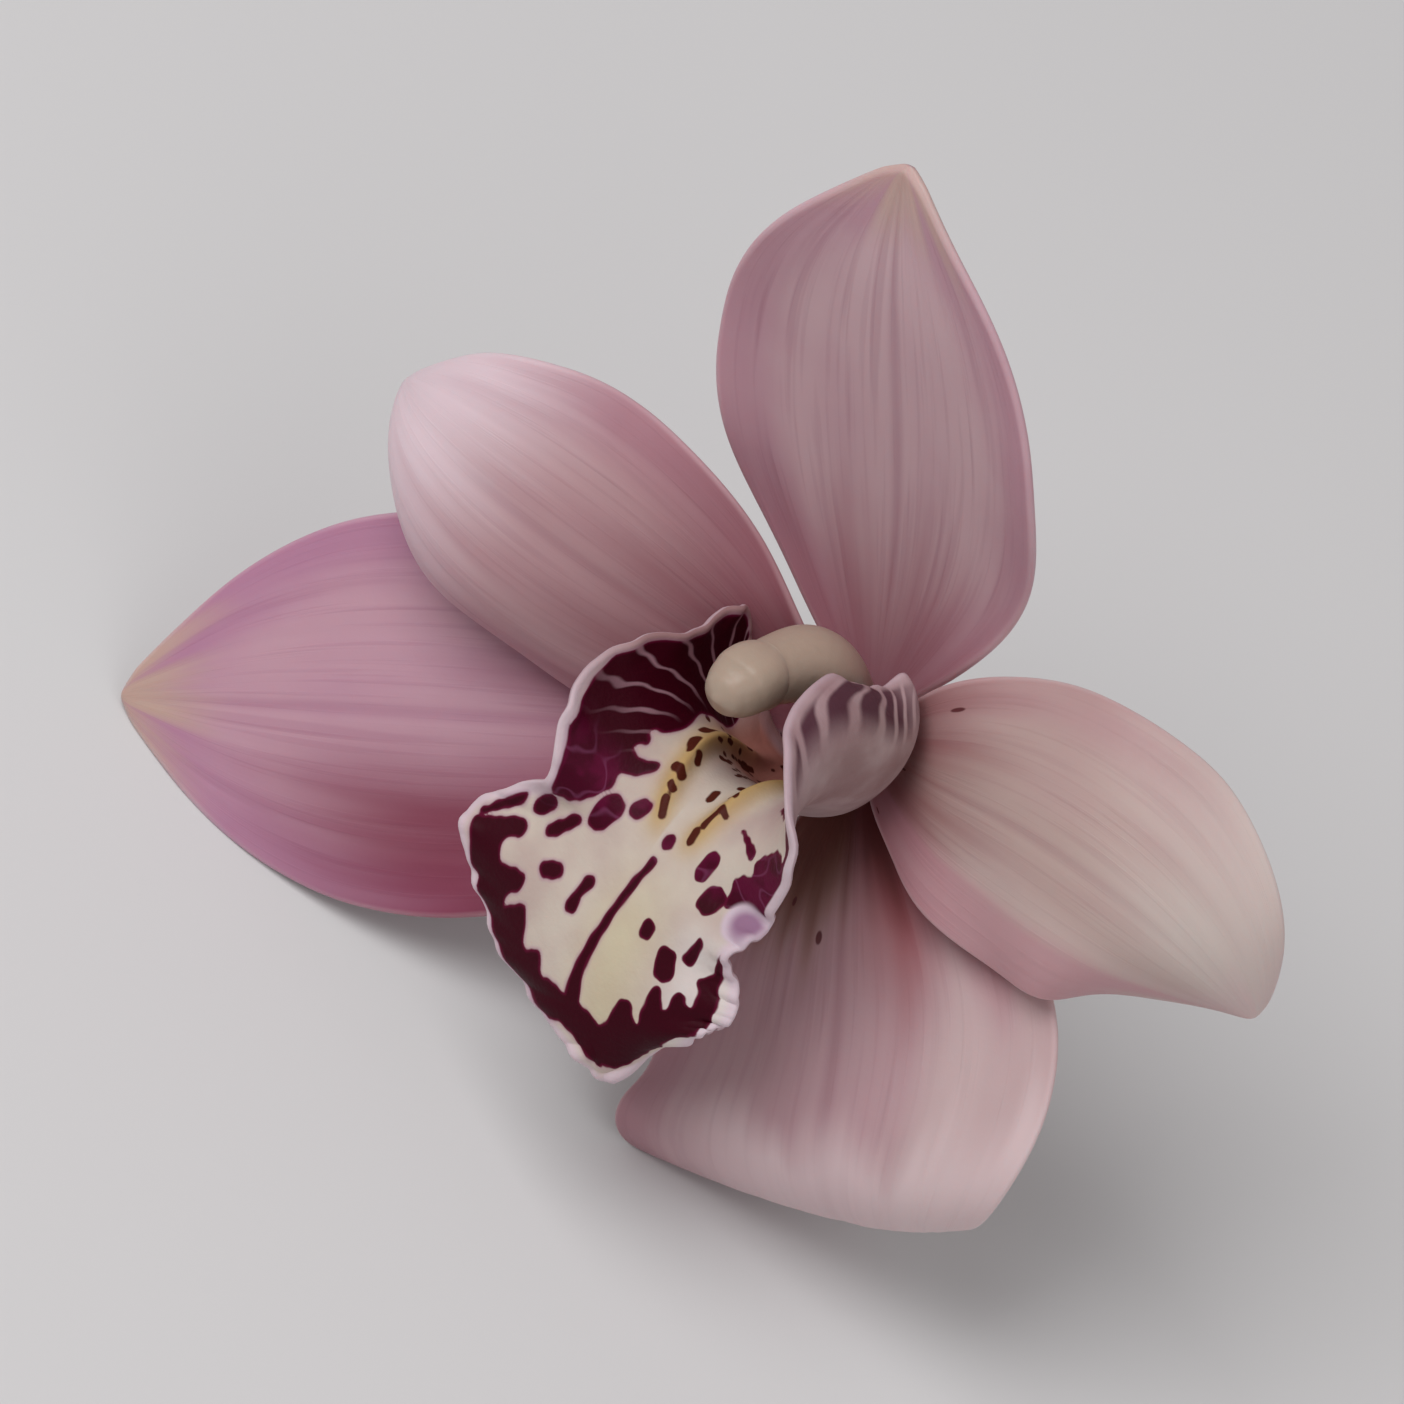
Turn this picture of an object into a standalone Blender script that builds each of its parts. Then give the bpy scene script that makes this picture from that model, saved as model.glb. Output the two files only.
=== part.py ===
"""A cymbidium orchid bloom as picked, lying on a table on its two lateral sepals and the end of its stalk.

The flower is modelled in its own frame: +X to the right as one looks into its face, -Y out of the face, and
+Z towards the dorsal sepal, with the origin at the foot of the column. An empty turns it into its resting pose,
where +Z is up and the face looks along -Y. A blade is a sheet that is bent twice: its centre line leaves the
middle at a clock angle and leans forward or back along its length, and each cross-section is an arc whose
turning angle grows from the midrib to the margin.
"""

import bmesh
import bpy
import numpy as np
from mathutils import Matrix

MM = 0.001
CLEARANCE = 0.3 * MM

SEPAL_WIDTH = 36 * MM
BROAD_SEPAL_WIDTH = 41 * MM     # the right lateral sepal
PETAL_WIDTH = 28 * MM
BLADE_MID_THICKNESS = 1.3 * MM
BLADE_EDGE_THICKNESS = 0.75 * MM
RING_RADIUS = 4.0 * MM          # the blades spring from a ring round the column's foot
SEPAL_LAYER = 1.2 * MM          # how far forward of the foot each whorl starts
PETAL_LAYER = 3.0 * MM

LIP_LENGTH = 50 * MM
LIP_THICKNESS = 1.1 * MM
LIP_EDGE_THICKNESS = 0.7 * MM
KEEL_HEIGHT = 1.2 * MM
KEEL_WIDTH = 2.2 * MM

COLUMN_FOOT_RADIUS = 2.5 * MM
COLUMN_END_RADIUS = 3.6 * MM
CAP_RADIUS = 3.0 * MM
CAP_LENGTH = 5.0 * MM

COLLAR_RADIUS = 4.7 * MM
OVARY_RADIUS = 3.0 * MM
STALK_RADIUS = 2.5 * MM
RIB_HEIGHT = 0.14 * MM
RIBS = 6

WANTED_FACE_LIFT = 28           # degrees that the face looks up, roughly, when the bloom lies at rest
REST_FLAT_DEPTH = 0.25 * MM     # the soft tissue pressed flat where it rests

SEPAL_OUTLINE = ((0, 0.14), (0.06, 0.30), (0.14, 0.52), (0.28, 0.82), (0.45, 0.985), (0.56, 1.0),
                 (0.70, 0.90), (0.84, 0.62), (0.95, 0.25), (1, 0.06))
PETAL_OUTLINE = ((0, 0.17), (0.06, 0.32), (0.14, 0.50), (0.28, 0.78), (0.45, 0.97), (0.57, 1.0),
                 (0.72, 0.90), (0.86, 0.60), (0.96, 0.24), (1, 0.07))
# The lip's half widths in millimetres, to the right and to the left as it is seen from its foot with its face up.
LIP_RIGHT_HALF = ((0, 2.6), (0.05, 4.6), (0.12, 10.5), (0.2, 15.6), (0.29, 17.0), (0.36, 15.6), (0.4, 16.0),
                  (0.44, 16.2), (0.48, 14.6), (0.52, 12.0), (0.555, 11.4), (0.59, 14.8), (0.63, 17.6),
                  (0.67, 18.0), (0.72, 16.4), (0.79, 12.8), (0.84, 9.4), (0.88, 5.8), (0.92, 3.2),
                  (0.96, 1.8), (1, 1.2))
LIP_LEFT_HALF = ((0, 2.6), (0.05, 7.0), (0.12, 14.0), (0.2, 20.4), (0.28, 23.4), (0.35, 23.6), (0.395, 21.8),
                 (0.43, 20.6), (0.465, 18.8), (0.5, 16.4), (0.54, 14.0), (0.6, 13.6), (0.66, 12.2),
                 (0.72, 13.2), (0.78, 13.6), (0.84, 12.6), (0.9, 10.6), (0.95, 7.6), (0.98, 4.6), (1, 2.2))
# Millimetres from the lip's midline to each keel's crest.
KEEL_RIGHT = ((0, 3.4), (0.16, 4.4), (0.26, 4.9), (0.34, 4.5), (0.42, 3.0), (0.5, 1.3), (1, 0.4))
KEEL_LEFT = ((0, 3.4), (0.16, 4.4), (0.26, 4.9), (0.34, 4.7), (0.42, 4.1), (0.5, 3.2), (1, 2.4))
STRAIGHT = ((0, 0), (1, 0))


def curve_through(points, at):
    """Smooth curve through (place, value) points: cubic pieces with the points' own central slopes."""
    places, values = np.array(points, float).T
    slopes = np.gradient(values, places)
    piece = np.clip(np.searchsorted(places, at) - 1, 0, len(places) - 2)
    width = places[piece + 1] - places[piece]
    t = np.clip((at - places[piece]) / width, 0, 1)
    start = (2 * t**3 - 3 * t**2 + 1) * values[piece] + (t**3 - 2 * t**2 + t) * width * slopes[piece]
    end = (3 * t**2 - 2 * t**3) * values[piece + 1] + (t**3 - t**2) * width * slopes[piece + 1]
    return start + end


def running_sum(values, step):
    """Trapezium integral from the first sample to each one, along the last axis."""
    total = np.zeros_like(values)
    total[..., 1:] = np.cumsum((values[..., 1:] + values[..., :-1]) / 2, axis=-1) * step
    return total


def blade(clock, length, width, outline, forward, lean, side=STRAIGHT, cup=STRAIGHT, roll_left=STRAIGHT,
          roll_right=STRAIGHT, skew=STRAIGHT, waves=(), outline_left=None):
    """A sepal, petal or lip as named values. Angles are degrees along its length, from 0 at the foot to 1.

    clock runs from +X towards +Z, lean is towards the face's front, side is across the blade to its left,
    cup is the cross-section's turning angle at both margins, and each roll turns one margin further.
    skew is the share by which the left half is wider and the right half narrower, and outline_left is the
    left half's own outline where it has one.
    """
    return dict(clock=clock, length=length, width=width, outline=outline, forward=forward, lean=lean, side=side,
                cup=cup, roll_left=roll_left, roll_right=roll_right, skew=skew, waves=waves,
                outline_left=outline_left or outline)


BLADES = {
    "dorsal_sepal": blade(
        96, 60 * MM, SEPAL_WIDTH, SEPAL_OUTLINE, SEPAL_LAYER,
        lean=((0, 24), (0.15, 30), (0.4, 40), (0.7, 42), (1, 30)), cup=((0, 30), (0.4, 24), (1, 18)),
        waves=((0.5 * MM, 2.3, 0.1),)),
    "lateral_sepal_left": blade(
        210, 65 * MM, SEPAL_WIDTH, SEPAL_OUTLINE, SEPAL_LAYER,
        lean=((0, 32), (0.3, 22), (0.7, 12), (1, 4)), cup=((0, 25), (0.25, 10), (0.5, 0), (1, 0)),
        waves=((0.5 * MM, 1.9, 0.3),)),
    "lateral_sepal_right": blade(
        308, 57 * MM, BROAD_SEPAL_WIDTH, SEPAL_OUTLINE, SEPAL_LAYER,
        lean=((0, 30), (0.3, 14), (0.55, 0), (0.68, -48), (0.79, -100), (0.9, -132), (1, -145)),
        side=((0, 4), (0.4, -2), (0.6, -14), (0.8, -14), (1, 0)),
        cup=((0, 25), (0.25, 6), (0.4, -5), (1, -10)), skew=((0, 0), (0.5, 0), (0.72, -0.25), (1, -0.3)),
        waves=((0.6 * MM, 2.6, 0.6),)),
    "petal_left": blade(
        171, 52 * MM, PETAL_WIDTH, PETAL_OUTLINE, PETAL_LAYER,
        lean=((0, 50), (0.3, 43), (0.6, 28), (0.8, 0), (1, -55)),
        cup=((0, 50), (0.25, 10), (0.4, -5), (1, -10)), roll_left=((0, 0), (0.3, -60), (1, -60)),
        waves=((0.5 * MM, 2.8, 0.2),)),
    "petal_right": blade(
        15, 53 * MM, PETAL_WIDTH, PETAL_OUTLINE, PETAL_LAYER,
        lean=((0, 42), (0.3, 24), (0.55, 0), (0.8, -45), (1, -70)),
        side=((0, 0), (0.4, -4), (0.7, -26), (1, -65)),
        cup=((0, 45), (0.25, -5), (0.4, -28), (1, -35)), waves=((0.5 * MM, 3.1, 0.5),)),
    "lip": blade(
        276, LIP_LENGTH, 2 * MM, LIP_RIGHT_HALF, PETAL_LAYER, outline_left=LIP_LEFT_HALF,
        lean=((0, 60), (0.12, 82), (0.24, 103), (0.33, 92), (0.4, 62), (0.5, 28), (0.7, 6), (0.85, -12), (1, -45)),
        side=((0, 0), (0.6, 0), (0.8, 10), (1, 42)),
        cup=((0, 60), (0.08, 85), (0.15, 104), (0.3, 104), (0.38, 97), (0.43, 80), (0.47, 60), (0.52, 34),
             (0.58, 12), (0.64, 0), (1, -10)),
        roll_left=((0, 0), (0.1, 30), (0.2, 56), (0.3, 88), (0.38, 95), (0.43, 72), (0.48, 6), (0.52, -10),
                   (0.6, 0), (1, -15)),
        roll_right=((0, 0), (0.12, 0), (0.3, -12), (0.38, -11), (0.43, 0), (0.47, 16), (0.52, 20), (0.58, 5),
                    (0.64, 0), (1, -15)),
        waves=((0.9 * MM, 4.6, 0.1), (0.6 * MM, 7.4, 0.4))),
}


def middle_sheet(shape, rows, columns):
    """The blade's middle surface as a (rows + 1, columns + 1, 3) grid, with s along it and v from -1 to 1."""
    s = np.linspace(0, 1, rows + 1)
    v = np.linspace(-1, 1, columns + 1)
    clock = np.radians(shape["clock"])
    outward = np.array([np.cos(clock), 0, np.sin(clock)])
    across = np.array([-np.sin(clock), 0, np.cos(clock)])
    forward = np.array([0, -1.0, 0])
    lean = np.radians(curve_through(shape["lean"], s))[:, None]
    side = np.radians(curve_through(shape["side"], s))[:, None]
    heading = np.cos(side) * outward + np.sin(side) * across
    leftward = np.cos(side) * across - np.sin(side) * outward
    tangent = np.cos(lean) * heading + np.sin(lean) * forward
    facing = np.cos(lean) * forward - np.sin(lean) * heading
    centre = RING_RADIUS * outward + shape["forward"] * forward
    centre = centre + running_sum(tangent.T, shape["length"] / rows).T

    half_width = shape["width"] / 2 * np.where(v > 0, curve_through(shape["outline_left"], s)[:, None],
                                               curve_through(shape["outline"], s)[:, None])
    half_width = half_width * (1 + curve_through(shape["skew"], s)[:, None] * np.sign(v))
    cup = np.radians(curve_through(shape["cup"], s))[:, None]
    roll = np.radians(np.where(v > 0, curve_through(shape["roll_left"], s)[:, None],
                               curve_through(shape["roll_right"], s)[:, None]))
    turn = cup * v + roll * v**3
    middle = columns // 2
    run = running_sum(np.cos(turn), 2 / columns)
    rise = running_sum(np.sin(turn), 2 / columns)
    run = (run - run[:, middle:middle + 1]) * half_width
    rise = (rise - rise[:, middle:middle + 1]) * half_width
    for height, count, phase in shape["waves"]:
        swing = np.sin(2 * np.pi * (count * s[:, None] + phase) + np.sign(v))
        rise = rise + height * swing * np.abs(v) ** 2.5 * np.minimum(1, half_width / (8 * MM))
    sheet = centre[:, None] + run[..., None] * leftward[:, None] + rise[..., None] * facing[:, None]
    return sheet, s[:, None], v[None, :], half_width


def sheet_normals(sheet):
    """Unit normals of a grid, towards the blade's front: along-step crossed with across-step."""
    normal = np.cross(np.gradient(sheet, axis=0), np.gradient(sheet, axis=1))
    return normal / np.linalg.norm(normal, axis=-1, keepdims=True)


def sheet_solid(front, back):
    """Points and triangles of the closed solid between two grids, split alike on both faces."""
    rows, columns = front.shape[0], front.shape[1]
    index = np.arange(rows * columns).reshape(rows, columns)
    a, b, c, d = index[:-1, :-1], index[1:, :-1], index[1:, 1:], index[:-1, 1:]
    top = np.concatenate([np.stack([a, b, c], -1).reshape(-1, 3), np.stack([a, c, d], -1).reshape(-1, 3)])
    bottom = top[:, ::-1] + rows * columns
    loop = np.concatenate([index[:-1, 0], index[-1, :-1], index[:0:-1, -1], index[0, :0:-1]])
    after = np.roll(loop, -1)
    under, under_after = loop + rows * columns, after + rows * columns
    rim = np.concatenate([np.stack([loop, under, under_after], -1), np.stack([loop, under_after, after], -1)])
    points = np.concatenate([front.reshape(-1, 3), back.reshape(-1, 3)])
    return points, np.concatenate([top, bottom, rim])


def volume_and_centre(points, triangles):
    """Signed volume of a closed mesh and its centre: the sum of the tetrahedra from the origin to each face."""
    a, b, c = (points[triangles[:, corner]] for corner in range(3))
    volumes = np.einsum("ij,ij->i", a, np.cross(b, c)) / 6
    centre = ((a + b + c) / 4 * volumes[:, None]).sum(axis=0) / volumes.sum()
    return volumes.sum(), centre


def tube_solid(rings):
    """Points and triangles of a closed tube through rings of points, each end closed to its own centre."""
    count, sides = rings.shape[0], rings.shape[1]
    index = np.arange(count * sides).reshape(count, sides)
    turned = np.roll(index, -1, axis=1)
    a, b, c, d = index[:-1], turned[:-1], turned[1:], index[1:]
    wall = np.concatenate([np.stack([a, b, c], -1).reshape(-1, 3), np.stack([a, c, d], -1).reshape(-1, 3)])
    first, last = count * sides, count * sides + 1
    foot = np.stack([np.full(sides, first), turned[0], index[0]], -1)
    end = np.stack([np.full(sides, last), index[-1], turned[-1]], -1)
    points = np.concatenate([rings.reshape(-1, 3), rings[:1].mean(axis=1), rings[-1:].mean(axis=1)])
    triangles = np.concatenate([wall, foot, end])
    if volume_and_centre(points, triangles)[0] < 0:
        triangles = triangles[:, ::-1]
    return points, triangles


def tube_rings(route, radii, count, sides, shape_round=None):
    """Rings of points square to a smooth route, with a radius at each place and an optional outline round it.

    shape_round(angle, place) scales the radius; the angle starts at +X and turns towards the tube's top.
    """
    place = np.linspace(0, 1, count)
    stations = np.linspace(0, 1, len(route))
    centre = np.stack([curve_through(list(zip(stations, axis)), place) for axis in np.array(route).T], -1)
    along = np.gradient(centre, axis=0)
    along /= np.linalg.norm(along, axis=-1, keepdims=True)
    top = np.array([0, 0, 1.0]) - along * along[:, 2:]
    top /= np.linalg.norm(top, axis=-1, keepdims=True)
    side = np.array([[1.0, 0, 0]])
    angle = np.linspace(0, 2 * np.pi, sides, endpoint=False)[None, :]
    reach = curve_through(radii, place)[:, None]
    if shape_round:
        reach = reach * shape_round(angle, place[:, None])
    return (centre[:, None] + (reach * np.cos(angle))[..., None] * side[:, None]
            + (reach * np.sin(angle))[..., None] * top[:, None])


def material(name, colour, roughness):
    """A Principled material with one colour and roughness."""
    made = bpy.data.materials.new(name)
    made.use_nodes = True
    shader = made.node_tree.nodes["Principled BSDF"]
    shader.inputs["Base Color"].default_value = (*colour, 1)
    shader.inputs["Roughness"].default_value = roughness
    shader.inputs["Metallic"].default_value = 0
    return made


def add_piece(name, points, triangles, look, bloom):
    """One named mesh object, smooth shaded with its rims sharp, carried by the bloom's empty."""
    mesh = bpy.data.meshes.new(name)
    mesh.from_pydata(points.tolist(), [], triangles.tolist())
    mesh.materials.append(look)
    mesh.shade_smooth()
    mesh.set_sharp_from_angle(angle=np.radians(50))
    piece = bpy.data.objects.new(name, mesh)
    piece.parent = bloom
    bpy.context.scene.collection.objects.link(piece)
    return piece


def blade_thickness(v, middle, edge):
    """Thickest at the midrib, thinning to the margin as the square of the distance across."""
    return edge + (middle - edge) * (1 - v * v)


def sepal_or_petal(name):
    """The two faces of a blade, each half its thickness from the middle sheet."""
    sheet, s, v, _ = middle_sheet(BLADES[name], rows=18, columns=10)
    offset = sheet_normals(sheet) * (blade_thickness(v, BLADE_MID_THICKNESS, BLADE_EDGE_THICKNESS) / 2
                                     * np.ones_like(s))[..., None]
    return sheet_solid(sheet + offset, sheet - offset)


def keel_rise(s, v, half_width):
    """Height of the two keels: a bell across each crest, faded in past the foot and out at the callus's end."""
    crest = np.where(v > 0, curve_through(KEEL_LEFT, s), curve_through(KEEL_RIGHT, s)) * MM
    off_crest = np.abs(v) * half_width - crest
    fade = np.clip((s - 0.06) / 0.12, 0, 1) * np.clip((0.54 - s) / 0.12, 0, 1)
    return KEEL_HEIGHT * fade * np.exp(-(off_crest / (KEEL_WIDTH / 2)) ** 2)


def lip_solid():
    """The lip's two faces; the front one also carries the keels."""
    sheet, s, v, half_width = middle_sheet(BLADES["lip"], rows=34, columns=24)
    normal = sheet_normals(sheet)
    half = blade_thickness(v, LIP_THICKNESS, LIP_EDGE_THICKNESS) / 2 * np.ones_like(s)
    front = sheet + normal * (half + keel_rise(s, v, half_width))[..., None]
    return sheet_solid(front, sheet - normal * half[..., None])


def column_section(angle, place):
    """Round above, with a shallow hollow below that deepens towards the end."""
    below = np.clip(-np.sin(angle), 0, 1)
    return 1 + 0.06 * np.cos(angle) ** 2 - (0.10 + 0.22 * place) * below**3


COLUMN_ROUTE = np.array([(0, -0.7, 0), (0, -4, 0.6), (0, -10, 4.6), (0, -17, 6.9), (0, -24, 5.6)]) * MM


def column_solid():
    """The arched column, thickest at its end."""
    radii = ((0, COLUMN_FOOT_RADIUS), (0.35, 3.1 * MM), (0.7, COLUMN_END_RADIUS), (1, 0.84 * COLUMN_END_RADIUS))
    return tube_solid(tube_rings(COLUMN_ROUTE, radii, count=14, sides=20, shape_round=column_section))


def cap_section(angle, place):
    """Round, with a groove along its top."""
    top = np.clip(np.sin(angle), 0, 1)
    return 1 - 0.12 * top**8 * np.sin(np.pi * place)


def cap_solid():
    """The anther cap: a dome off the column's end, bent down over its front."""
    end, before = COLUMN_ROUTE[-1], COLUMN_ROUTE[-2]
    along = (end - before) / np.linalg.norm(end - before)
    along = along + np.array([0, 0, -0.25])
    along /= np.linalg.norm(along)
    foot = end + along * (CLEARANCE + 0.4 * MM)
    route = [foot, foot + along * CAP_LENGTH * 0.5, foot + along * CAP_LENGTH + np.array([0, 0, -0.5 * MM])]
    radii = ((0, 0.92 * CAP_RADIUS), (0.25, CAP_RADIUS), (0.55, 0.95 * CAP_RADIUS), (0.8, 0.7 * CAP_RADIUS),
             (0.93, 0.42 * CAP_RADIUS), (1, 0.1 * CAP_RADIUS))
    return tube_solid(tube_rings(route, radii, count=10, sides=16, shape_round=cap_section))


def ribbed(angle, place):
    """Six low ribs along the ovary, fading out at the collar and towards the stalk's cut end."""
    fade = np.clip(place / 0.15, 0, 1) * np.clip((1.25 - place) / 0.6, 0, 1)
    return 1 + RIB_HEIGHT / OVARY_RADIUS * fade * np.cos(RIBS * angle)


def stalk_solid():
    """The ovary and stalk: a collar under the blades, then a ribbed stem that curves back and down."""
    route = np.array([(0, -0.1, 0), (0, 11, -1.4), (0, 22, -7), (0, 30.5, -17)]) * MM
    radii = ((0, COLLAR_RADIUS), (0.05, 0.93 * COLLAR_RADIUS), (0.12, 1.1 * OVARY_RADIUS), (0.2, OVARY_RADIUS),
             (0.5, OVARY_RADIUS), (0.75, 0.9 * OVARY_RADIUS), (1, STALK_RADIUS))
    return tube_solid(tube_rings(route, radii, count=22, sides=24, shape_round=ribbed))


def resting_up(points, centre_of_mass):
    """The flower's direction that points up at rest.

    A body can rest on a facet of its convex hull when its centre of mass lies over that facet, which the
    barycentric coordinates of the centre's foot on the facet's plane tell. The facet taken is the one whose
    outward normal is nearest to the wanted downward direction.
    """
    hull = bmesh.new()
    for point in points:
        hull.verts.new(point)
    bmesh.ops.convex_hull(hull, input=hull.verts)
    corners = np.array([[corner.co for corner in face.verts] for face in hull.faces if len(face.verts) == 3])
    hull.free()
    edge_a, edge_b = corners[:, 1] - corners[:, 0], corners[:, 2] - corners[:, 0]
    normal = np.cross(edge_a, edge_b)
    area = np.linalg.norm(normal, axis=1)
    corners, edge_a, edge_b, normal = (held[area > 1e-10] for held in (corners, edge_a, edge_b, normal))
    normal /= np.linalg.norm(normal, axis=1, keepdims=True)
    to_mass = centre_of_mass - corners[:, 0]
    normal *= -np.sign(np.einsum("ij,ij->i", to_mass, normal))[:, None]
    face_area = np.linalg.norm(np.cross(edge_a, edge_b), axis=1)
    share_b = np.abs(np.einsum("ij,ij->i", np.cross(edge_a, to_mass), normal)) / face_area
    share_a = np.abs(np.einsum("ij,ij->i", np.cross(to_mass, edge_b), normal)) / face_area
    beyond = np.cross(corners[:, 2] - corners[:, 1], centre_of_mass - corners[:, 1])
    share_c = np.abs(np.einsum("ij,ij->i", beyond, normal)) / face_area
    over = share_a + share_b + share_c < 1 + 1e-6
    lift = np.radians(WANTED_FACE_LIFT)
    wanted_down = np.array([0, np.sin(lift), -np.cos(lift)])
    return -normal[np.argmax(np.where(over, normal @ wanted_down, -1))]


def resting_turn(up):
    """The turn from the flower's frame to the table's, with up pointing up and the face looking along -Y."""
    front = np.array([0, -1.0, 0])
    front = front - up * (front @ up)
    front /= np.linalg.norm(front)
    return np.stack([np.cross(up, front), -front, up])


def press_flat(piece, floor):
    """Takes off what reaches below the table, so that the piece rests on a small flat."""
    cut = piece.modifiers.new("resting flat", "BOOLEAN")
    cut.operation = "DIFFERENCE"
    cut.solver = "EXACT"
    cut.object = floor


def add_floor_cutter():
    """A block whose top is the table."""
    size = 0.2
    corners = np.array([(x, y, z) for x in (-size, size) for y in (-size, size) for z in (-0.05, 0)])
    faces = [(0, 1, 3, 2), (4, 6, 7, 5), (0, 4, 5, 1), (2, 3, 7, 6), (0, 2, 6, 4), (1, 5, 7, 3)]
    mesh = bpy.data.meshes.new("floor_cutter")
    mesh.from_pydata(corners.tolist(), [], faces)
    floor = bpy.data.objects.new("floor_cutter", mesh)
    floor.hide_render = True
    floor.display_type = "WIRE"
    bpy.context.scene.collection.objects.link(floor)
    return floor


def main():
    for old in list(bpy.data.objects):
        bpy.data.objects.remove(old)
    looks = {
        "sepal": material("sepal", (0.62, 0.42, 0.48), 0.45),
        "petal": material("petal", (0.66, 0.50, 0.53), 0.45),
        "lip": material("lip", (0.62, 0.50, 0.38), 0.45),
        "column": material("column", (0.72, 0.66, 0.56), 0.35),
        "cap": material("cap", (0.78, 0.74, 0.64), 0.35),
        "stalk": material("stalk", (0.20, 0.22, 0.05), 0.4),
    }
    solids = {name: (sepal_or_petal(name), looks["sepal" if "sepal" in name else "petal"])
              for name in BLADES if name != "lip"}
    solids["lip"] = (lip_solid(), looks["lip"])
    solids["column"] = (column_solid(), looks["column"])
    solids["anther_cap"] = (cap_solid(), looks["cap"])
    solids["pedicel_ovary"] = (stalk_solid(), looks["stalk"])

    everything = np.concatenate([points for (points, _), _ in solids.values()])
    parts = [volume_and_centre(*solid) for solid, _ in solids.values()]
    whole = sum(volume for volume, _ in parts)
    centre_of_mass = sum(volume * centre for volume, centre in parts) / whole
    up = resting_up(everything, centre_of_mass)
    print("volume", round(whole / MM**3), "mm3, up at rest", up.round(4))
    turn = resting_turn(up)
    everything = everything @ turn.T
    low, high = everything.min(axis=0), everything.max(axis=0)
    bloom = bpy.data.objects.new("bloom", None)
    bpy.context.scene.collection.objects.link(bloom)
    shift = -(low + high) / 2
    shift[2] = -low[2] - REST_FLAT_DEPTH
    bloom.matrix_world = Matrix.Translation(shift.tolist()) @ Matrix(turn.tolist()).to_4x4()
    print("foot of the column at", (shift / MM).round(2), "mm")

    floor = add_floor_cutter()
    for name, ((points, triangles), look) in solids.items():
        piece = add_piece(name, points, triangles, look, bloom)
        lowest = (points @ turn.T)[:, 2].min() + shift[2]
        print(name, "lowest point", round(lowest / MM, 2), "mm")
        if lowest < 0:
            press_flat(piece, floor)


main()
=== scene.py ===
# %% [markdown]
# # A cymbidium orchid bloom, laid on a table
#
# This lesson dresses the plain solids of one picked bloom. The solids come ready and fixed, and each of
# them is replaced here by a finer surface worked out from the same few numbers, with the veins, the
# spots and the waxy skin that the real flower has. Every length is in metres, with +Z up and the table
# at zero.

import bpy
import numpy as np
from mathutils import Matrix


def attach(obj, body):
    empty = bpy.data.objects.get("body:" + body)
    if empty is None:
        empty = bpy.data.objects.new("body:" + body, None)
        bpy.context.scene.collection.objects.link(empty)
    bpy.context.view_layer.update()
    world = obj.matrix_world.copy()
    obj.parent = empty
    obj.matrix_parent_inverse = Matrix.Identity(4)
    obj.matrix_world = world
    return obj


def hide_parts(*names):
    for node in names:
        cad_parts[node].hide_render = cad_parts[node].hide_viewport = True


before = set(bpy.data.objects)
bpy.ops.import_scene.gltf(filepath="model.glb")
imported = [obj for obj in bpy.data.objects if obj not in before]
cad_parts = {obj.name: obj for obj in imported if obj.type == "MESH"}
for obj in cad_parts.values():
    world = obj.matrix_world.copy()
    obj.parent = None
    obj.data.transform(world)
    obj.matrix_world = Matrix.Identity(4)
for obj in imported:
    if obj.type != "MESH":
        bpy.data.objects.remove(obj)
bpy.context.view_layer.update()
MM = 0.001
print("plain solids:", ", ".join(sorted(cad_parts)))


# %% [markdown]
# ## Smooth curves through a few values
# A petal's width, its lean and its curl all change slowly along its length. Each is given by a handful
# of values and read off a smooth curve through them, so that a whole outline is drawn with about ten
# numbers.

# %% Curves and sums
def curve_through(points, at):
    """Cubic pieces through (place, value) points, whose slope at each point is the mean slope of its
    neighbours."""
    places, values = np.array(points, float).T
    slopes = np.gradient(values, places)
    piece = np.clip(np.searchsorted(places, at) - 1, 0, len(places) - 2)
    width = places[piece + 1] - places[piece]
    t = np.clip((at - places[piece]) / width, 0, 1)
    start = (2 * t**3 - 3 * t**2 + 1) * values[piece] + (t**3 - 2 * t**2 + t) * width * slopes[piece]
    end = (3 * t**2 - 2 * t**3) * values[piece + 1] + (t**3 - t**2) * width * slopes[piece + 1]
    return start + end


def running_sum(values, places):
    """Trapezium integral of values over places, from the first sample to each one, along the last axis."""
    total = np.zeros_like(values)
    total[..., 1:] = np.cumsum((values[..., 1:] + values[..., :-1]) / 2 * np.diff(places), axis=-1)
    return total


def fade(value, start, end):
    """0 before start and 1 after end, with a smooth S between them: 3t squared less 2t cubed."""
    t = np.clip((value - start) / (end - start), 0, 1)
    return t * t * (3 - 2 * t)


print("a fade is at", fade(0.25, 0, 1), "after a quarter of its way")


# %% [markdown]
# ## How the bloom lies
# The flower is worked out in a frame of its own: +X to the right as one looks into its face, -Y out of
# the face and +Z towards the top sepal. It lies on its two lower sepals and the end of its stalk, so
# its own upward direction and the height of the column's foot are all that is needed to turn it into
# place.

# %% Resting place
TABLE_UP = np.array([0.2451, -0.5299, 0.8119])       # the table's up, seen from the flower
COLUMN_FOOT = np.array([1.14, 11.75, 30.37]) * MM    # where the foot of the column lies over the table


def resting_turn(up):
    """Rows of the turn that makes up point up, with the face looking along -Y."""
    up = up / np.linalg.norm(up)
    front = np.array([0, -1.0, 0])
    front = front - up * (front @ up)
    front /= np.linalg.norm(front)
    return np.stack([np.cross(up, front), -front, up])


TURN = resting_turn(TABLE_UP)


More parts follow.
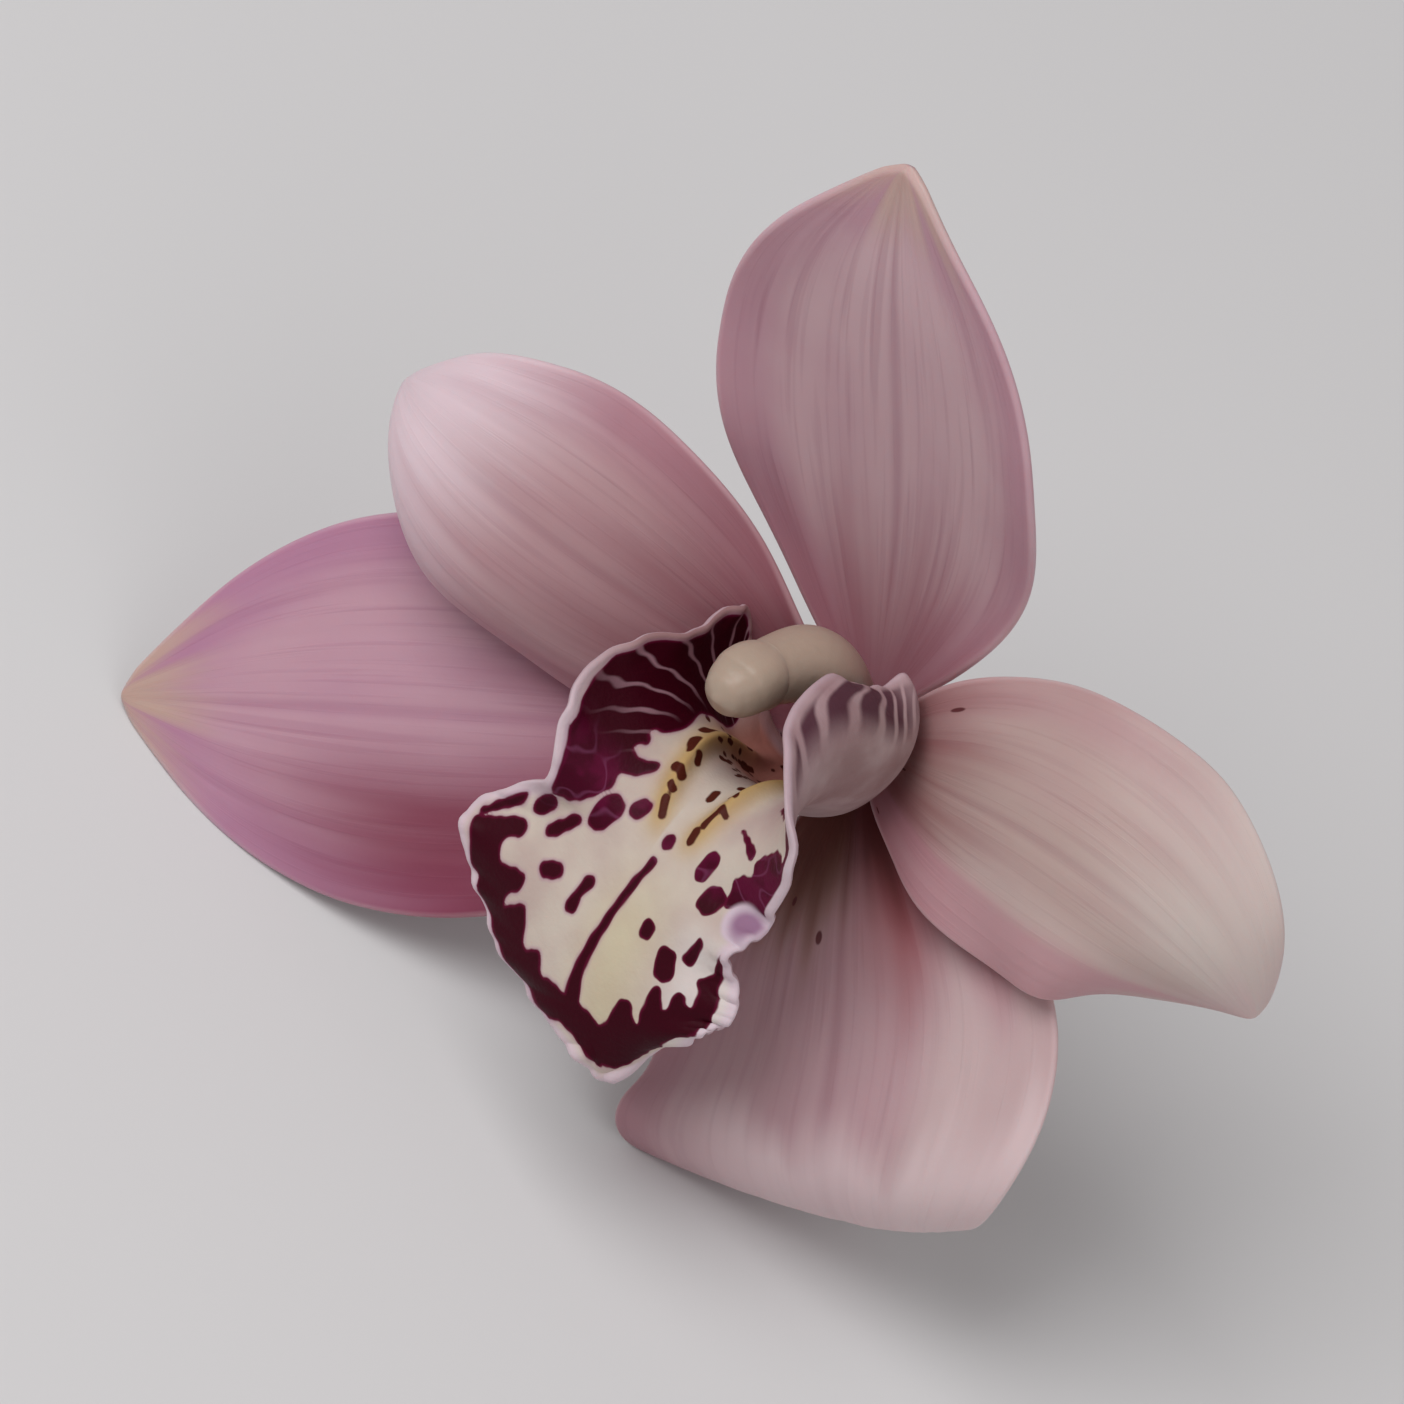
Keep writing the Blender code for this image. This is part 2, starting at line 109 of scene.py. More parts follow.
def laid(points):
    """Points of the flower's frame, on the table: turned, moved, and pressed flat where they would go
    below it."""
    placed = points @ TURN.T + COLUMN_FOOT
    placed[..., 2] = np.maximum(placed[..., 2], 0)
    return placed


face_height = (TURN @ np.array([0, -1.0, 0]))[2]
print("the face looks up by", round(float(np.degrees(np.arcsin(face_height))), 1), "degrees")


# %% [markdown]
# ## A blade is a sheet bent twice
# Sepals, petals and the lip are all leaves at heart. The centre line leaves the flower's middle at a
# clock angle and leans forward or back along its length. Across it, the sheet turns more the further it
# is from the midrib, which cups it. A sheet with subdivision and hand-moved points could do it too, but
# a formula keeps the veins and the spots tied to the blade's own length and width.

# %% One blade's values
STRAIGHT = ((0, 0), (1, 0))
RING_RADIUS = 4.0 * MM           # where a blade's foot stands from the flower's axis


def blade(clock, length, width, outline, forward, lean, side=STRAIGHT, cup=STRAIGHT, roll_left=STRAIGHT,
          roll_right=STRAIGHT, skew=STRAIGHT, waves=(), outline_left=None):
    """A sepal, petal or lip as named values. Angles are degrees along its length, from 0 at the foot to 1.

    clock runs from +X towards +Z, lean is towards the face's front, side is across the blade to its left,
    cup is the cross-section's turning angle at both margins, and each roll turns one margin further.
    """
    return dict(clock=clock, length=length, width=width, outline=outline, forward=forward, lean=lean,
                side=side, cup=cup, roll_left=roll_left, roll_right=roll_right, skew=skew, waves=waves,
                outline_left=outline_left or outline)


print("a blade's foot is", RING_RADIUS / MM, "mm from the axis")


# %% [markdown]
# The three sepals share one outline, which is broadest a little past its middle and pointed at its tip.
# They differ in length, in their clock angle and in how they lean. The right one's outer third is bent
# right back.

# %% Sepal values
SEPAL_OUTLINE = (
    (0, 0.14), (0.06, 0.30), (0.14, 0.52), (0.28, 0.82), (0.45, 0.985), (0.56, 1.0), (0.70, 0.90),
    (0.84, 0.62), (0.95, 0.25), (1, 0.06))
SEPAL_LAYER = 1.2 * MM           # how far forward the sepals stand
SEPALS = {
    "dorsal_sepal": blade(
        96, 60 * MM, 36 * MM, SEPAL_OUTLINE, SEPAL_LAYER,
        lean=((0, 24), (0.15, 30), (0.4, 40), (0.7, 42), (1, 30)), cup=((0, 30), (0.4, 24), (1, 18)),
        waves=((0.5 * MM, 2.3, 0.1),)),
    "lateral_sepal_left": blade(
        210, 65 * MM, 36 * MM, SEPAL_OUTLINE, SEPAL_LAYER,
        lean=((0, 32), (0.3, 22), (0.7, 12), (1, 4)), cup=((0, 25), (0.25, 10), (0.5, 0), (1, 0)),
        waves=((0.5 * MM, 1.9, 0.3),)),
    "lateral_sepal_right": blade(
        308, 57 * MM, 41 * MM, SEPAL_OUTLINE, SEPAL_LAYER,
        lean=((0, 30), (0.3, 14), (0.55, 0), (0.68, -48), (0.79, -100), (0.9, -132), (1, -145)),
        side=((0, 4), (0.4, -2), (0.6, -14), (0.8, -14), (1, 0)),
        cup=((0, 25), (0.25, 6), (0.4, -5), (1, -10)), skew=((0, 0), (0.5, 0), (0.72, -0.25), (1, -0.3)),
        waves=((0.6 * MM, 2.6, 0.6),)),
}
for name, shape in SEPALS.items():
    print(name, round(shape["length"] / MM), "mm long and", round(shape["width"] / MM), "mm wide")


# %% [markdown]
# The two petals are narrower, and they stand in front of the sepals. Each has its own bend, because in
# the real flower the left one is bent back at its tip and the right one twists down to a small point.

# %% Petal values
PETAL_OUTLINE = (
    (0, 0.17), (0.06, 0.32), (0.14, 0.50), (0.28, 0.78), (0.45, 0.97), (0.57, 1.0), (0.72, 0.90),
    (0.86, 0.60), (0.96, 0.24), (1, 0.07))
PETAL_LAYER = 3.0 * MM           # how far forward the petals and the lip stand
PETALS = {
    "petal_left": blade(
        171, 52 * MM, 28 * MM, PETAL_OUTLINE, PETAL_LAYER,
        lean=((0, 50), (0.3, 43), (0.6, 28), (0.8, 0), (1, -55)),
        cup=((0, 50), (0.25, 10), (0.4, -5), (1, -10)), roll_left=((0, 0), (0.3, -60), (1, -60)),
        waves=((0.5 * MM, 2.8, 0.2),)),
    "petal_right": blade(
        15, 53 * MM, 28 * MM, PETAL_OUTLINE, PETAL_LAYER,
        lean=((0, 42), (0.3, 24), (0.55, 0), (0.8, -45), (1, -70)),
        side=((0, 0), (0.4, -4), (0.7, -26), (1, -65)),
        cup=((0, 45), (0.25, -5), (0.4, -28), (1, -35)), waves=((0.5 * MM, 3.1, 0.5),)),
}
for name, shape in PETALS.items():
    print(name, round(shape["length"] / MM), "mm long and", round(shape["width"] / MM), "mm wide")


# %% [markdown]
# The samples across a blade crowd towards its margins, because that is where its edge is rounded and
# where the lip is crisped. The foot and the tip get closer rows for the same reason.

# %% The sheet of a blade
TIP_ROUNDING = 0.025             # share of a blade's length over which its tip is rounded like an ellipse


class Sheet:
    """A blade's middle surface: points on a grid, with s along it, v from -1 to 1 across it, and its
    half widths."""

    def __init__(self, shape, rows, columns, crowding=0.4):
        """The midline is the running sum of its tangent. Across it the sheet has turned by cup times v
        plus roll times v cubed, and the running sums of that angle's cosine and sine are its run and
        its rise."""
        u = np.linspace(-1, 1, columns + 1)
        v = u * (1 + crowding - crowding * u * u)
        t = np.linspace(0, 1, rows + 1)
        s = t - 0.1 * np.sin(2 * np.pi * t) / (2 * np.pi)
        clock = np.radians(shape["clock"])
        outward = np.array([np.cos(clock), 0, np.sin(clock)])
        across = np.array([-np.sin(clock), 0, np.cos(clock)])
        forward = np.array([0, -1.0, 0])
        lean = np.radians(curve_through(shape["lean"], s))[:, None]
        side = np.radians(curve_through(shape["side"], s))[:, None]
        heading = np.cos(side) * outward + np.sin(side) * across
        leftward = np.cos(side) * across - np.sin(side) * outward
        tangent = np.cos(lean) * heading + np.sin(lean) * forward
        facing = np.cos(lean) * forward - np.sin(lean) * heading
        centre = RING_RADIUS * outward + shape["forward"] * forward
        centre = centre + running_sum(tangent.T, s * shape["length"]).T

        half_width = shape["width"] / 2 * np.where(v > 0, curve_through(shape["outline_left"], s)[:, None],
                                                   curve_through(shape["outline"], s)[:, None])
        half_width = half_width * (1 + curve_through(shape["skew"], s)[:, None] * np.sign(v))
        near_tip = np.clip((s - 1 + TIP_ROUNDING) / TIP_ROUNDING, 0, 1)[:, None]
        half_width = half_width * np.sqrt(1 - 0.96 * near_tip**2)
        cup = np.radians(curve_through(shape["cup"], s))[:, None]
        roll = np.radians(np.where(v > 0, curve_through(shape["roll_left"], s)[:, None],
                                   curve_through(shape["roll_right"], s)[:, None]))
        turn = cup * v + roll * v**3
        middle = columns // 2
        run = running_sum(np.cos(turn), v)
        rise = running_sum(np.sin(turn), v)
        run = (run - run[:, middle:middle + 1]) * half_width
        rise = (rise - rise[:, middle:middle + 1]) * half_width
        for height, count, phase in shape["waves"]:
            swing = np.sin(2 * np.pi * (count * s[:, None] + phase) + np.sign(v))
            rise = rise + height * swing * np.abs(v) ** 2.5 * np.minimum(1, half_width / (8 * MM))

        self.points = (centre[:, None] + run[..., None] * leftward[:, None]
                       + rise[..., None] * facing[:, None])
        self.s = np.broadcast_to(s[:, None], half_width.shape)
        self.v = np.broadcast_to(v[None, :], half_width.shape)
        self.half_width = half_width
        self.length = shape["length"]
        self.normal = self.normals()

    def normals(self):
        """Unit normals towards the blade's front: the step along it crossed with the step across it."""
        normal = np.cross(np.gradient(self.points, axis=0), np.gradient(self.points, axis=1))
        return normal / np.linalg.norm(normal, axis=-1, keepdims=True)

    def across(self):
        """Distance from the midline, in millimetres on the flattened blade."""
        return self.v * self.half_width / MM

    def to_margin(self):
        """Distance to the margin in millimetres: across the blade, shortened where the outline slants,
        or else to the tip, whichever is nearer."""
        slant = np.gradient(self.half_width, axis=0) / np.gradient(self.s * self.length, axis=0)
        sideways = (1 - np.abs(self.v)) * self.half_width / np.sqrt(1 + slant**2)
        return np.minimum(sideways, (1 - self.s) * self.length) / MM


trial = Sheet(SEPALS["dorsal_sepal"], rows=40, columns=20)
reach = np.linalg.norm(trial.points[-1, 10] - trial.points[0, 10]) / MM
print("the top sepal's tip is", round(float(reach), 1), "mm from its foot in a straight line")


# %% [markdown]
# ## From a sheet to a closed skin
# A real petal is about a millimetre thick and its edge is round. Two copies of the sheet, one pushed
# forward and one back, are joined along their rims, and their gap narrows to nothing over the last half
# millimetre like the end of an ellipse. Solidify would make the same walls, but with a square edge.

# %% Skins
def grid_faces(rows, columns):
    """Corner numbers of the four-sided faces of a grid."""
    index = np.arange(rows * columns).reshape(rows, columns)
    return np.stack([index[:-1, :-1], index[1:, :-1], index[1:, 1:], index[:-1, 1:]], -1).reshape(-1, 4)


def skin(front, back):
    """Points and faces of the closed skin between two grids, with a strip of faces along the shared rim."""
    rows, columns = front.shape[:2]
    count = rows * columns
    top = grid_faces(rows, columns)
    index = np.arange(count).reshape(rows, columns)
    loop = np.concatenate([index[:-1, 0], index[-1, :-1], index[:0:-1, -1], index[0, :0:-1]])
    after = np.roll(loop, -1)
    rim = np.stack([loop, loop + count, after + count, after], -1)
    points = np.concatenate([front.reshape(-1, 3), back.reshape(-1, 3)])
    return points, np.concatenate([top, top[:, ::-1] + count, rim])


def round_edge(sheet, reach=0.5):
    """Share of the full thickness: 1 inside, and a quarter ellipse over the last reach millimetres to
    the rim."""
    near = np.clip(sheet.to_margin() / reach, 0, 1)
    return 0.12 + 0.88 * np.sqrt(1 - (1 - near) ** 2)


print("a skin on 3 by 3 points has", len(skin(trial.points[:3, :3], trial.points[:3, :3])[1]), "faces")


# %% [markdown]
# ## Putting a surface into Blender
# A mesh can carry numbers on its points. The finish of each blade reads them, so a vein follows the
# blade wherever it bends. The numbers are written with foreach_set, which hands over a whole array at
# once.

# %% Mesh from arrays
NO_FACES = np.zeros((0, 3), int)
SHARP_ANGLE = np.radians(75)     # a bend sharper than this stays a crease


def make_piece(name, node, marks, points, faces, end_faces=NO_FACES):
    """A named mesh on the table that replaces a plain solid, with each mark stored on its points."""
    mesh = bpy.data.meshes.new(name)
    mesh.from_pydata(laid(points).tolist(), [], faces.tolist() + end_faces.tolist())
    for mark, values in marks.items():
        stored = mesh.attributes.new(mark, "FLOAT", "POINT")
        stored.data.foreach_set("value", np.asarray(values, np.float32).ravel())
    mesh.shade_smooth()
    mesh.set_sharp_from_angle(angle=SHARP_ANGLE)
    piece = bpy.data.objects.new(name, mesh)
    bpy.context.scene.collection.objects.link(piece)
    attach(piece, "root")
    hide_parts(node)
    print(name, len(mesh.polygons), "faces")
    return piece


def both_faces(values):
    """The same values for the points of a skin's front and back."""
    return np.concatenate([np.ravel(values), np.ravel(values)])


def front_mark(sheet):
    """1 on a skin's front points and 0 on its back points."""
    count = sheet.s.size
    return np.concatenate([np.ones(count), np.zeros(count)])


print("a bend of more than", round(float(np.degrees(SHARP_ANGLE))), "degrees stays a crease")


# %% [markdown]
# ## Sepals and petals
# A sepal is thickest along its midrib, and its veins stand out a little on the back and sink a little
# on the front. The main veins are in the mesh, a few hundredths of a millimetre deep, and the finer
# ones are left to the finish. A displacement texture could press them in as well, but it would not know
# the way along the blade.

# %% Sepal and petal surfaces
BLADE_MID_THICKNESS = 1.3 * MM
BLADE_EDGE_THICKNESS = 0.75 * MM
MAIN_VEINS = 7                   # on each side of the midrib
VEIN_DEPTH = 0.025 * MM
MIDRIB_WIDTH = 0.9               # millimetres from the midline to where its furrow has mostly gone
MIDRIB_DEPTH = 3.5               # times the depth of a vein


def vein_wave(sheet):
    """-1 on a main vein and 1 between two: a cosine of the place across, its steps made uneven by a
    sine, with the midrib's own deeper furrow."""
    furrow = np.exp(-(sheet.across() / MIDRIB_WIDTH) ** 2) * fade(sheet.s, 0.05, 0.3)
    uneven = sheet.v + 0.05 * np.sin(9 * sheet.v + 1) + 0.01 * np.sin(14 * sheet.s + 25 * sheet.v)
    waves = -np.cos(2 * np.pi * MAIN_VEINS * uneven) * (0.6 + 0.4 * np.sin(11 * sheet.v))
    return waves - MIDRIB_DEPTH * furrow


def make_blade(name, shape):
    """One sepal or petal as a skin, with its place along, across and from the margin stored for its
    finish. Its thickness falls from the midrib with v squared. Half of it lies on each side of the sheet,
    and the relief moves both faces the same way."""
    sheet = Sheet(shape, rows=200, columns=104)
    thickness = BLADE_EDGE_THICKNESS + (BLADE_MID_THICKNESS - BLADE_EDGE_THICKNESS) * (1 - sheet.v**2)
    half = thickness / 2 * round_edge(sheet)
    relief = VEIN_DEPTH * vein_wave(sheet) * fade(sheet.to_margin(), 0.3, 3) * fade(sheet.s, 0.1, 0.45)
    front = sheet.points + sheet.normal * (half + relief)[..., None]
    back = sheet.points - sheet.normal * (half - relief)[..., None]
    marks = {"along": both_faces(sheet.s), "across": both_faces(sheet.v),
             "margin": both_faces(sheet.to_margin()), "front": front_mark(sheet)}
    return make_piece(name + "_bloom", name, marks, *skin(front, back))


sepals_and_petals = {name: make_blade(name, shape) for name, shape in {**SEPALS, **PETALS}.items()}


# %% [markdown]
# ## The lip
# The lip carries the flower's picture: two raised yellow keels that lead an insect to the column, side
# lobes striped along their veins, and a front lobe with a wine-red border inside a crisped pale rim.
# Its markings are worked out as distances in millimetres on the flattened lip, and the finish turns
# each distance into a sharp edge. Distances stay smooth between two points of the mesh, so the edge is
# finer than the mesh is.

# %% Lip values
LIP_RIGHT_HALF = (
    (0, 2.6), (0.05, 4.6), (0.12, 10.5), (0.2, 15.6), (0.29, 17.0), (0.36, 15.6), (0.4, 16.0),
    (0.44, 16.2), (0.48, 14.6), (0.52, 12.0), (0.555, 11.4), (0.59, 14.8), (0.63, 17.6), (0.67, 18.0),
    (0.72, 16.4), (0.79, 12.8), (0.84, 9.4), (0.88, 5.8), (0.92, 3.2), (0.96, 1.8), (1, 1.2))
LIP_LEFT_HALF = (
    (0, 2.6), (0.05, 7.0), (0.12, 14.0), (0.2, 20.4), (0.28, 23.4), (0.35, 23.6), (0.395, 21.8),
    (0.43, 20.6), (0.465, 18.8), (0.5, 16.4), (0.54, 14.0), (0.6, 13.6), (0.66, 12.2), (0.72, 13.2),
    (0.78, 13.6), (0.84, 12.6), (0.9, 10.6), (0.95, 7.6), (0.98, 4.6), (1, 2.2))
LIP = blade(
    276, 50 * MM, 2 * MM, LIP_RIGHT_HALF, PETAL_LAYER, outline_left=LIP_LEFT_HALF,
    lean=((0, 60), (0.12, 82), (0.24, 103), (0.33, 92), (0.4, 62), (0.5, 28), (0.7, 6), (0.85, -12),
          (1, -45)),
    side=((0, 0), (0.6, 0), (0.8, 10), (1, 42)),
    cup=((0, 60), (0.08, 85), (0.15, 104), (0.3, 104), (0.38, 97), (0.43, 80), (0.47, 60), (0.52, 34),
         (0.58, 12), (0.64, 0), (1, -10)),
    roll_left=((0, 0), (0.1, 30), (0.2, 56), (0.3, 88), (0.38, 95), (0.43, 72), (0.48, 6), (0.52, -10),
               (0.6, 0), (1, -15)),
    roll_right=((0, 0), (0.12, 0), (0.3, -12), (0.38, -11), (0.43, 0), (0.47, 16), (0.52, 20), (0.58, 5),
                (0.64, 0), (1, -15)),
    waves=((0.9 * MM, 4.6, 0.1), (0.6 * MM, 7.4, 0.4)))
print("the lip is", round(LIP["length"] / MM), "mm long on its midline")


# %% [markdown]
# The keels are two bells pushed out of the sheet's front, whose crests follow a curve each. The crisped
# rim is a sum of three sine waves along the margin, with counts that don't divide each other, so that
# it never repeats.

# %% Keels and crisped rim
KEEL_HEIGHT = 1.2 * MM
KEEL_WIDTH = 2.2 * MM
KEEL_RIGHT = ((0, 3.4), (0.16, 4.4), (0.26, 4.9), (0.34, 4.5), (0.42, 3.0), (0.5, 1.3), (1, 0.4))
KEEL_LEFT = ((0, 3.4), (0.16, 4.4), (0.26, 4.9), (0.34, 4.7), (0.42, 4.1), (0.5, 3.2), (1, 2.4))
RUFFLES = ((0.2, 15.3, 0.13), (0.13, 26.1, 0.31), (0.06, 41.7, -0.2))    # height, count and shift across


def from_keel(sheet):
    """Millimetres from the nearer keel's crest, whose place across is read off one curve for each side."""
    crest = np.where(sheet.v > 0, curve_through(KEEL_LEFT, sheet.s), curve_through(KEEL_RIGHT, sheet.s))
    return np.abs(sheet.across()) - crest


def keel_rise(sheet):
    """Height of the two keels: a bell across each crest, faded in past the foot and out at the callus's
    end."""
    ends = np.clip((sheet.s - 0.06) / 0.12, 0, 1) * np.clip((0.54 - sheet.s) / 0.12, 0, 1)
    return KEEL_HEIGHT * ends * np.exp(-(from_keel(sheet) * MM / (KEEL_WIDTH / 2)) ** 2)


def crisping(sheet):
    """The rim's fine ruffles: three sines along the margin, over its last three millimetres."""
    turn = np.clip(3 * sheet.v, -1, 1)
    ruffle = sum(height * np.sin(2 * np.pi * (count * sheet.s + shift * turn))
                 for height, count, shift in RUFFLES)
    return ruffle * MM * fade(-sheet.to_margin(), -3.0, 0) * fade(sheet.s, 0.06, 0.2)


print("the rim's ruffles reach", round(sum(height for height, count, shift in RUFFLES), 2), "mm either way")


# %% [markdown]
# Each wine-red patch is a closed outline of a few corners on the flattened lip, rounded off by cutting
# its corners. The spots are daubs, as of a brush that is pressed down at one point and drawn to
# another. A shape of either kind is used through one number, the depth inside it, which is negative
# outside.

# %% Depths inside patches and daubs
def wobble(x, y, size, seed):
    """A smooth unevenness between -1 and 1 with bumps of about that size: 0.6 of a product of two turned
    sines and 0.4 of a third, finer one."""
    a, b = (x + 0.6 * y) / size, (y - 0.6 * x) / size
    broad = np.sin(2.1 * a + seed) * np.sin(1.7 * b + 2 * seed)
    fine = np.sin(3.9 * a - 3.1 * b + seed)
    return broad * 0.6 + fine * 0.4


def rounded(corners, times=2):
    """Corner cutting: every side keeps its middle half, and the cuts join into a smooth closed curve."""
    loop = np.array(corners, float)
    for _ in range(times):
        after = np.roll(loop, -1, axis=0)
        loop = np.stack([0.75 * loop + 0.25 * after, 0.25 * loop + 0.75 * after], axis=1).reshape(-1, 2)
    return loop


def patch_depth(x, y, corners):
    """Distance to a rounded outline's nearest side, positive where a line to the left crosses it an odd
    number of times."""
    loop = rounded(corners)
    nearest = np.full(x.shape, np.inf)
    inside = np.zeros(x.shape, bool)
    for (ax, ay), (bx, by) in zip(loop, np.roll(loop, -1, axis=0)):
        ex, ey = bx - ax, by - ay
        t = np.clip(((x - ax) * ex + (y - ay) * ey) / (ex * ex + ey * ey), 0, 1)
        nearest = np.minimum(nearest, np.hypot(x - ax - t * ex, y - ay - t * ey))
        inside ^= ((ay > y) != (by > y)) & (x < ax + (y - ay) * ex / (ey or 1))
    return np.where(inside, nearest, -nearest)


def daub_depth(x, y, daub):
    """Radius of a daub at the nearest place on its line, which runs from one radius to the other, less the
    distance to that place."""
    ax, ay, bx, by, first, last = daub
    ex, ey = bx - ax, by - ay
    t = np.clip(((x - ax) * ex + (y - ay) * ey) / (ex * ex + ey * ey), 0, 1)
    return first + (last - first) * t - np.hypot(x - ax - t * ex, y - ay - t * ey)


square = ((0, 0), (4, 0), (4, 4), (0, 4))
middle_depth = patch_depth(np.array([2.0]), np.array([2.0]), square)[0]
print("the middle of a rounded 4 mm square is", round(float(middle_depth), 2), "mm deep")


# %% [markdown]
# On a real lip each patch and spot has a place of its own, so they are set down one by one. The front
# lobe's border comes in two halves that meet at its tip. The left side lobe has one patch and the right
# one has two, and a thin stroke runs down the middle. Fewer corners would do for a plain border, but
# they would lose the notches between its veins.

# %% Outlines and daubs, in millimetres across and along the lip
BORDER_LEFT = (
    (-17.0, 33.3), (-16.0, 34.5), (-15.9, 35.8), (-14.7, 36.5), (-14.3, 37.5), (-13.8, 39.2),
    (-11.8, 41.0), (-9.0, 43.4), (-6.8, 44.4), (-4.6, 44.4), (-3.0, 44.3), (-1.8, 45.0), (-1.2, 46.2),
    (-0.6, 47.4), (0.2, 48.6), (1.6, 46.6), (1.4, 44.2), (0.2, 43.0), (-1.0, 42.2), (-2.6, 41.9),
    (-4.0, 41.3), (-5.3, 41.3), (-5.3, 40.1), (-6.0, 39.5), (-7.5, 40.1), (-7.8, 38.6), (-8.3, 37.1),
    (-9.0, 36.8), (-10.9, 37.9), (-10.9, 36.9), (-9.5, 36.3), (-9.3, 34.9), (-10.6, 34.7),
    (-12.4, 34.9), (-13.1, 33.9), (-12.6, 32.9), (-11.4, 32.7), (-11.5, 31.2), (-12.9, 31.2),
    (-15.0, 32.3), (-16.4, 32.6))
BORDER_RIGHT = (
    (0.2, 48.6), (2.8, 48.6), (4.6, 47.4), (6.2, 46.6), (7.5, 45.6), (9.2, 44.2), (11.3, 43.9),
    (11.9, 42.5), (11.8, 40.5), (12.1, 38.2), (11.6, 36.5), (11.5, 34.8), (12.0, 32.4), (11.2, 32.9),
    (10.8, 34.3), (10.2, 35.4), (9.3, 36.4), (10.0, 37.6), (9.9, 39.6), (9.2, 39.5), (9.1, 38.4),
    (8.2, 38.3), (7.9, 39.2), (7.3, 41.5), (7.0, 39.2), (6.5, 38.3), (5.7, 39.1), (5.3, 41.5),
    (5.0, 43.7), (4.6, 42.8), (4.4, 41.2), (3.6, 40.8), (2.7, 41.7), (2.3, 43.2), (1.2, 44.3),
    (0.2, 43.2), (-0.8, 42.6), (-0.8, 44.4))
SIDE_LEFT = (
    (-10.6, 28.1), (-9.3, 28.1), (-7.6, 27.7), (-6.8, 26.5), (-6.0, 25.7), (-6.7, 24.5), (-5.4, 24.1),
    (-4.5, 23.1), (-4.1, 22.4), (-4.7, 21.8), (-6.2, 22.9), (-7.5, 22.4), (-6.2, 21.5), (-7.7, 20.9),
    (-6.4, 20.2), (-6.1, 19.0), (-6.4, 17.6), (-7.4, 16.6), (-7.5, 15.0), (-7.2, 13.0), (-7.4, 10.6),
    (-8.6, 8.2), (-12.0, 7.2), (-15.4, 8.4), (-17.2, 11.5), (-17.4, 14.2), (-16.6, 16.2), (-15.6, 17.6),
    (-15.6, 19.0), (-15.5, 20.2), (-15.8, 21.0), (-15.2, 22.0), (-14.2, 23.0), (-13.2, 24.1),
    (-12.6, 25.1), (-12.0, 26.2), (-11.2, 27.2))
SIDE_RIGHT_TOP = (
    (9.2, 29.3), (10.1, 28.2), (11.2, 27.5), (12.6, 27.6), (14.0, 26.9), (17.0, 24.8), (19.2, 23.1),
    (17.2, 23.1), (16.1, 23.6), (15.6, 24.5), (14.9, 23.8), (12.8, 23.9), (10.7, 24.5), (11.3, 25.5),
    (10.1, 25.6), (8.8, 26.2), (9.1, 27.2), (8.7, 28.3))
SIDE_RIGHT_FOOT = (
    (13.2, 21.0), (16.8, 21.5), (20.2, 20.2), (21.9, 17.4), (21.8, 14.0), (19.8, 11.2), (16.2, 10.0),
    (12.4, 10.6), (9.8, 12.8), (8.6, 15.4), (9.6, 16.8), (8.8, 18.2), (10.8, 19.0))
STROKE = (
    (0.9, 28.8, 0.4, 31.2, 0.42, 0.42), (0.4, 31.2, -0.45, 35.6, 0.42, 0.45),
    (-0.45, 35.6, -1.3, 39.6, 0.45, 0.6), (-1.3, 39.6, -1.6, 42.6, 0.6, 0.9))
DAUBS = (
    (-16.3, 32.2, -13.3, 29.7, 0.4, 0.55), (-11.3, 29.7, -10.4, 28.9, 0.68, 0.68),
    (-9.2, 30.9, -7.6, 29.2, 0.62, 0.66), (-7.8, 33.7, -7, 33.5, 0.78, 0.78),
    (-4.1, 35.3, -3.95, 34.3, 0.72, 0.46), (-3.95, 34.3, -3.6, 33.1, 0.46, 0.68),
    (-5.6, 28.1, -5.2, 26.9, 1.05, 1.15), (-3.1, 25.9, -2.9, 25.5, 0.82, 0.8),
    (1.1, 26.9, 1.1, 26.5, 0.58, 0.56), (3.5, 34.4, 3.55, 33.9, 0.74, 0.74),
    (6.4, 37.1, 6.1, 35.5, 1, 0.95), (8.1, 34.8, 8.9, 32.9, 0.62, 0.5),
    (7.7, 29.5, 7.9, 28.5, 1.18, 1.12), (5.6, 27.4, 5.9, 26.1, 0.78, 0.88),
    (6.9, 22.9, 10, 24.3, 0.15, 0.42), (9.8, 20.9, 13.5, 22, 0.2, 0.42))
FRECKLES = (
    (-0.9, 25.2, -1.6, 24.0, 0.40, 0.42), (-1.7, 23.1, -2.3, 22.9, 0.36, 0.36),
    (-2.1, 21.8, -3.4, 21.5, 0.44, 0.36), (-2.5, 19.8, -3.0, 19.4, 0.40, 0.40),
    (-3.8, 19.9, -4.7, 18.7, 0.32, 0.42), (-5.3, 17.3, -5.6, 16.6, 0.4, 0.4),
    (3.0, 25.7, 2.9, 24.8, 0.42, 0.45), (3.3, 24.1, 3.6, 22.9, 0.34, 0.38),
    (3.7, 22.4, 4.5, 22.6, 0.40, 0.30), (1.3, 21.7, 1.2, 20.8, 0.42, 0.40),
    (3.0, 20.8, 4.0, 21.0, 0.35, 0.35), (2.3, 18.8, 3.9, 19.1, 0.45, 0.40))
PATCHES = (BORDER_LEFT, BORDER_RIGHT, SIDE_LEFT, SIDE_RIGHT_TOP, SIDE_RIGHT_FOOT)
DISC = (11.9, 29.4)              # middle of the round mauve spot in its pale ring
print(len(PATCHES), "patches,", len(DAUBS), "daubs and", len(FRECKLES), "freckles are set down")


# %% [markdown]
# Along the side lobes the red is parted by thin pale veins, and on their backs it shows as a row of
# dull dashes. Both are families of near-parallel lines. Only the number of the line is stored, counted
# up smoothly from one line to the next, and the finish draws the lines from it as fine as the picture
# asks.

